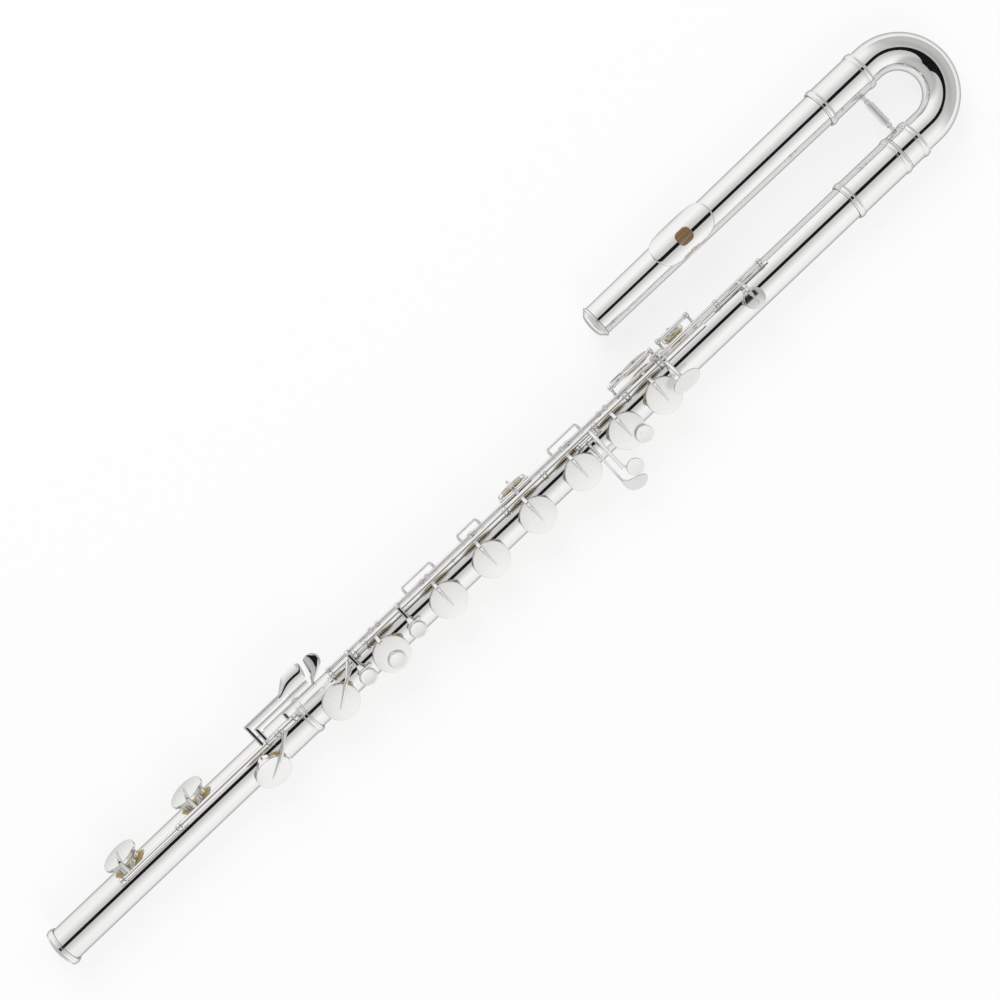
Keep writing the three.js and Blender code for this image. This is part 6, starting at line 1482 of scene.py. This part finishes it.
foot_key("c_sharp_foot", c_sharp_foot_x, FOOT_BACK_ANGLE, KEY_OPEN, [
    hinge_tube(foot_hinge, MAIN_TUBE, MAIN_ROD + ROD_BORE_GAP, foot_post_middle + tube_gap, c_tube_end),
], (c_sharp_touch_x, TOUCH_BAR_OUTER, [
    curled_plate([(c_sharp_touch_from, TOUCH_BAR_INNER, TOUCH_BAR_OUTER),
                  (leaf_start + SPOON_RUN * 0.1, TOUCH_BAR_INNER, TOUCH_BAR_OUTER)],
                 TOUCH_THICKNESS, 0.7),
    curled_plate(leaf, TOUCH_THICKNESS, 0.48)]))
fan_low = d_spoon_start - FAN_LEAD
fan = [(blend(D_BAR_INNER, D_SPOON_OUTER, out), blend(fan_low, d_spoon_end, low),
        blend(fan_low, d_spoon_end, high))
       for out, low, high in [
           (0.065, 0.0, 0.13), (0.2, 0.06, 0.22), (0.31, 0.11, 0.5), (0.46, 0.17, 0.86), (0.6, 0.23, 0.985),
           (0.76, 0.3, 1.0), (0.87, 0.35, 0.95), (0.95, 0.4, 0.86), (0.985, 0.47, 0.78), (1.0, 0.55, 0.68)]]
foot_key("d_sharp_foot", d_sharp_foot_x, FOOT_FRONT_ANGLE, 0, [
    hinge_tube(foot_hinge, MAIN_TUBE, MAIN_ROD + ROD_BORE_GAP, foot_post_high + tube_gap,
               d_sharp_post - tube_gap),
], (d_sharp_touch_x, D_BAR_OUTER, [
    curled_plate([(d_touch_from, D_BAR_INNER, D_BAR_OUTER),
                  (d_spoon_start - FAN_LEAD * 0.2, D_BAR_INNER, D_BAR_OUTER)], TOUCH_THICKNESS, 0.7),
    curled_plate(fan, TOUCH_THICKNESS, 0.68, FAN_CURL, upright=True)]), hub=d_sharp_hub)

# The table, the light and the camera. A white table takes the shadow; a dark panel high overhead draws the
# fine dark line along every tube, as the gap between two soft boxes does.
FLOOR_HALF = 6
FLOOR_WHITE = (0.97, 0.97, 0.965, 1)
PANEL_HEIGHT = 2.2
PANEL_HALF_WIDTH = 0.36
PANEL_HALF_LENGTH = 1.15
PANEL_BLACK = (0.01, 0.01, 0.01, 1)
SKY_SHADES = [(0.0, 0.93), (0.15, 1.0), (0.5, 1.0), (0.77, 0.84), (0.93, 0.64), (1.0, 0.58)]
SKY_END_SHADE = 0.55
SKY_DIFFUSE = 0.7
FLOOR_GLOW = 0.7
CAMERA_PLACE = (-0.00125, 0.0015, 1.777)
CAMERA_TURN = -43.52
CAMERA_LENS = 80.6

floor_mesh = bmesh.new()
bmesh.ops.create_grid(floor_mesh, x_segments=2, y_segments=2, size=FLOOR_HALF)
floor = as_object("floor", floor_mesh)
floor_paint, floor_tree, floor_shader = new_material("white_table")
set_inputs(floor_shader, Base_Color=FLOOR_WHITE, Roughness=0.9, Specular_IOR_Level=0.1)


def math_node(tree, operation, first, second=0.5):
    return add_node(tree, "Math", {"operation": operation}, _0=first, _1=second).outputs["Value"]


glow = add_node(floor_tree, "Emission", Color=(1, 1, 1, 1), Strength=1).outputs["Emission"]
rays = add_node(floor_tree, "LightPath").outputs
plainly_seen = math_node(floor_tree, "MAXIMUM", rays["Is Camera Ray"], rays["Is Glossy Ray"])
through_glass = math_node(floor_tree, "MAXIMUM", plainly_seen, rays["Is Transmission Ray"])
glow_share = math_node(floor_tree, "MULTIPLY", through_glass, FLOOR_GLOW)
floor_mix = add_node(floor_tree, "MixShader", Fac=glow_share, _1=floor_shader.outputs["BSDF"], _2=glow)
set_inputs(floor_tree.nodes["Material Output"], Surface=floor_mix.outputs["Shader"])
floor.data.materials.append(floor_paint)

panel_mesh = bmesh.new()
bmesh.ops.create_grid(panel_mesh, x_segments=1, y_segments=1, size=1, matrix=Matrix.Translation(
    (0, 0, PANEL_HEIGHT)) @ Matrix.Diagonal((PANEL_HALF_LENGTH, PANEL_HALF_WIDTH, 1, 1)))
panel = as_object("dark_panel", panel_mesh)
panel_paint, _, panel_shader = new_material("panel_black")
set_inputs(panel_shader, Base_Color=PANEL_BLACK, Specular_IOR_Level=0)
panel.data.materials.append(panel_paint)
panel.visible_camera = False
panel.visible_diffuse = False
panel.visible_shadow = False

world = bpy.data.worlds.new("studio")
bpy.context.scene.world = world
world.use_nodes = True
sky = world.node_tree
direction = add_node(sky, "TexCoord").outputs["Generated"]
split = add_node(sky, "SeparateXYZ", Vector=direction).outputs
overhead = add_node(sky, "ValToRGB", Fac=split["Z"])
ramp = overhead.color_ramp
ramp.elements[0].position, ramp.elements[1].position = SKY_SHADES[0][0], SKY_SHADES[-1][0]
for height, shade in SKY_SHADES[1:-1]:
    ramp.elements.new(height)
for element, (height, shade) in zip(ramp.elements, SKY_SHADES):
    element.color = (shade, shade, shade, 1)
sideways = math_node(sky, "ABSOLUTE", split["X"])
end_shade = add_node(sky, "MapRange", {"interpolation_type": "SMOOTHSTEP"}, Value=sideways,
                     From_Min=0.2, From_Max=0.6, To_Min=1, To_Max=SKY_END_SHADE)
tent = math_node(sky, "MULTIPLY", overhead.outputs["Color"], end_shade.outputs["Result"])
ray = add_node(sky, "LightPath").outputs
dimmed = add_node(sky, "Mix", Factor=ray["Is Glossy Ray"], A=SKY_DIFFUSE, B=tent).outputs["Result"]
seen = add_node(sky, "Mix", Factor=ray["Is Camera Ray"], A=dimmed, B=1).outputs["Result"]
set_inputs(sky.nodes["Background"], Color=(1, 1, 1, 1), Strength=seen)


def lamp(name, place, aim, size, power):
    data = bpy.data.lights.new(name, "AREA")
    data.shape = "SQUARE"
    data.size = size
    data.energy = power
    obj = bpy.data.objects.new(name, data)
    bpy.context.scene.collection.objects.link(obj)
    obj.location = place
    obj.rotation_euler = (Vector(aim) - Vector(place)).to_track_quat("-Z", "Y").to_euler()
    obj.visible_glossy = False
    return obj


lamp("soft_box_far", (0.6, 2.6, 2.4), (0, 0, 0), 2.2, 40)
lamp("soft_box_near", (-0.8, -2.4, 2.2), (0, 0, 0), 1.8, 20)

camera_data = bpy.data.cameras.new("camera")
camera_data.lens = CAMERA_LENS
camera_data.sensor_width = 36
camera = bpy.data.objects.new("camera", camera_data)
bpy.context.scene.collection.objects.link(camera)
camera.location = CAMERA_PLACE
camera.rotation_euler = (0, 0, math.radians(CAMERA_TURN))
bpy.context.scene.camera = camera
bpy.context.scene.view_settings.view_transform = "Standard"
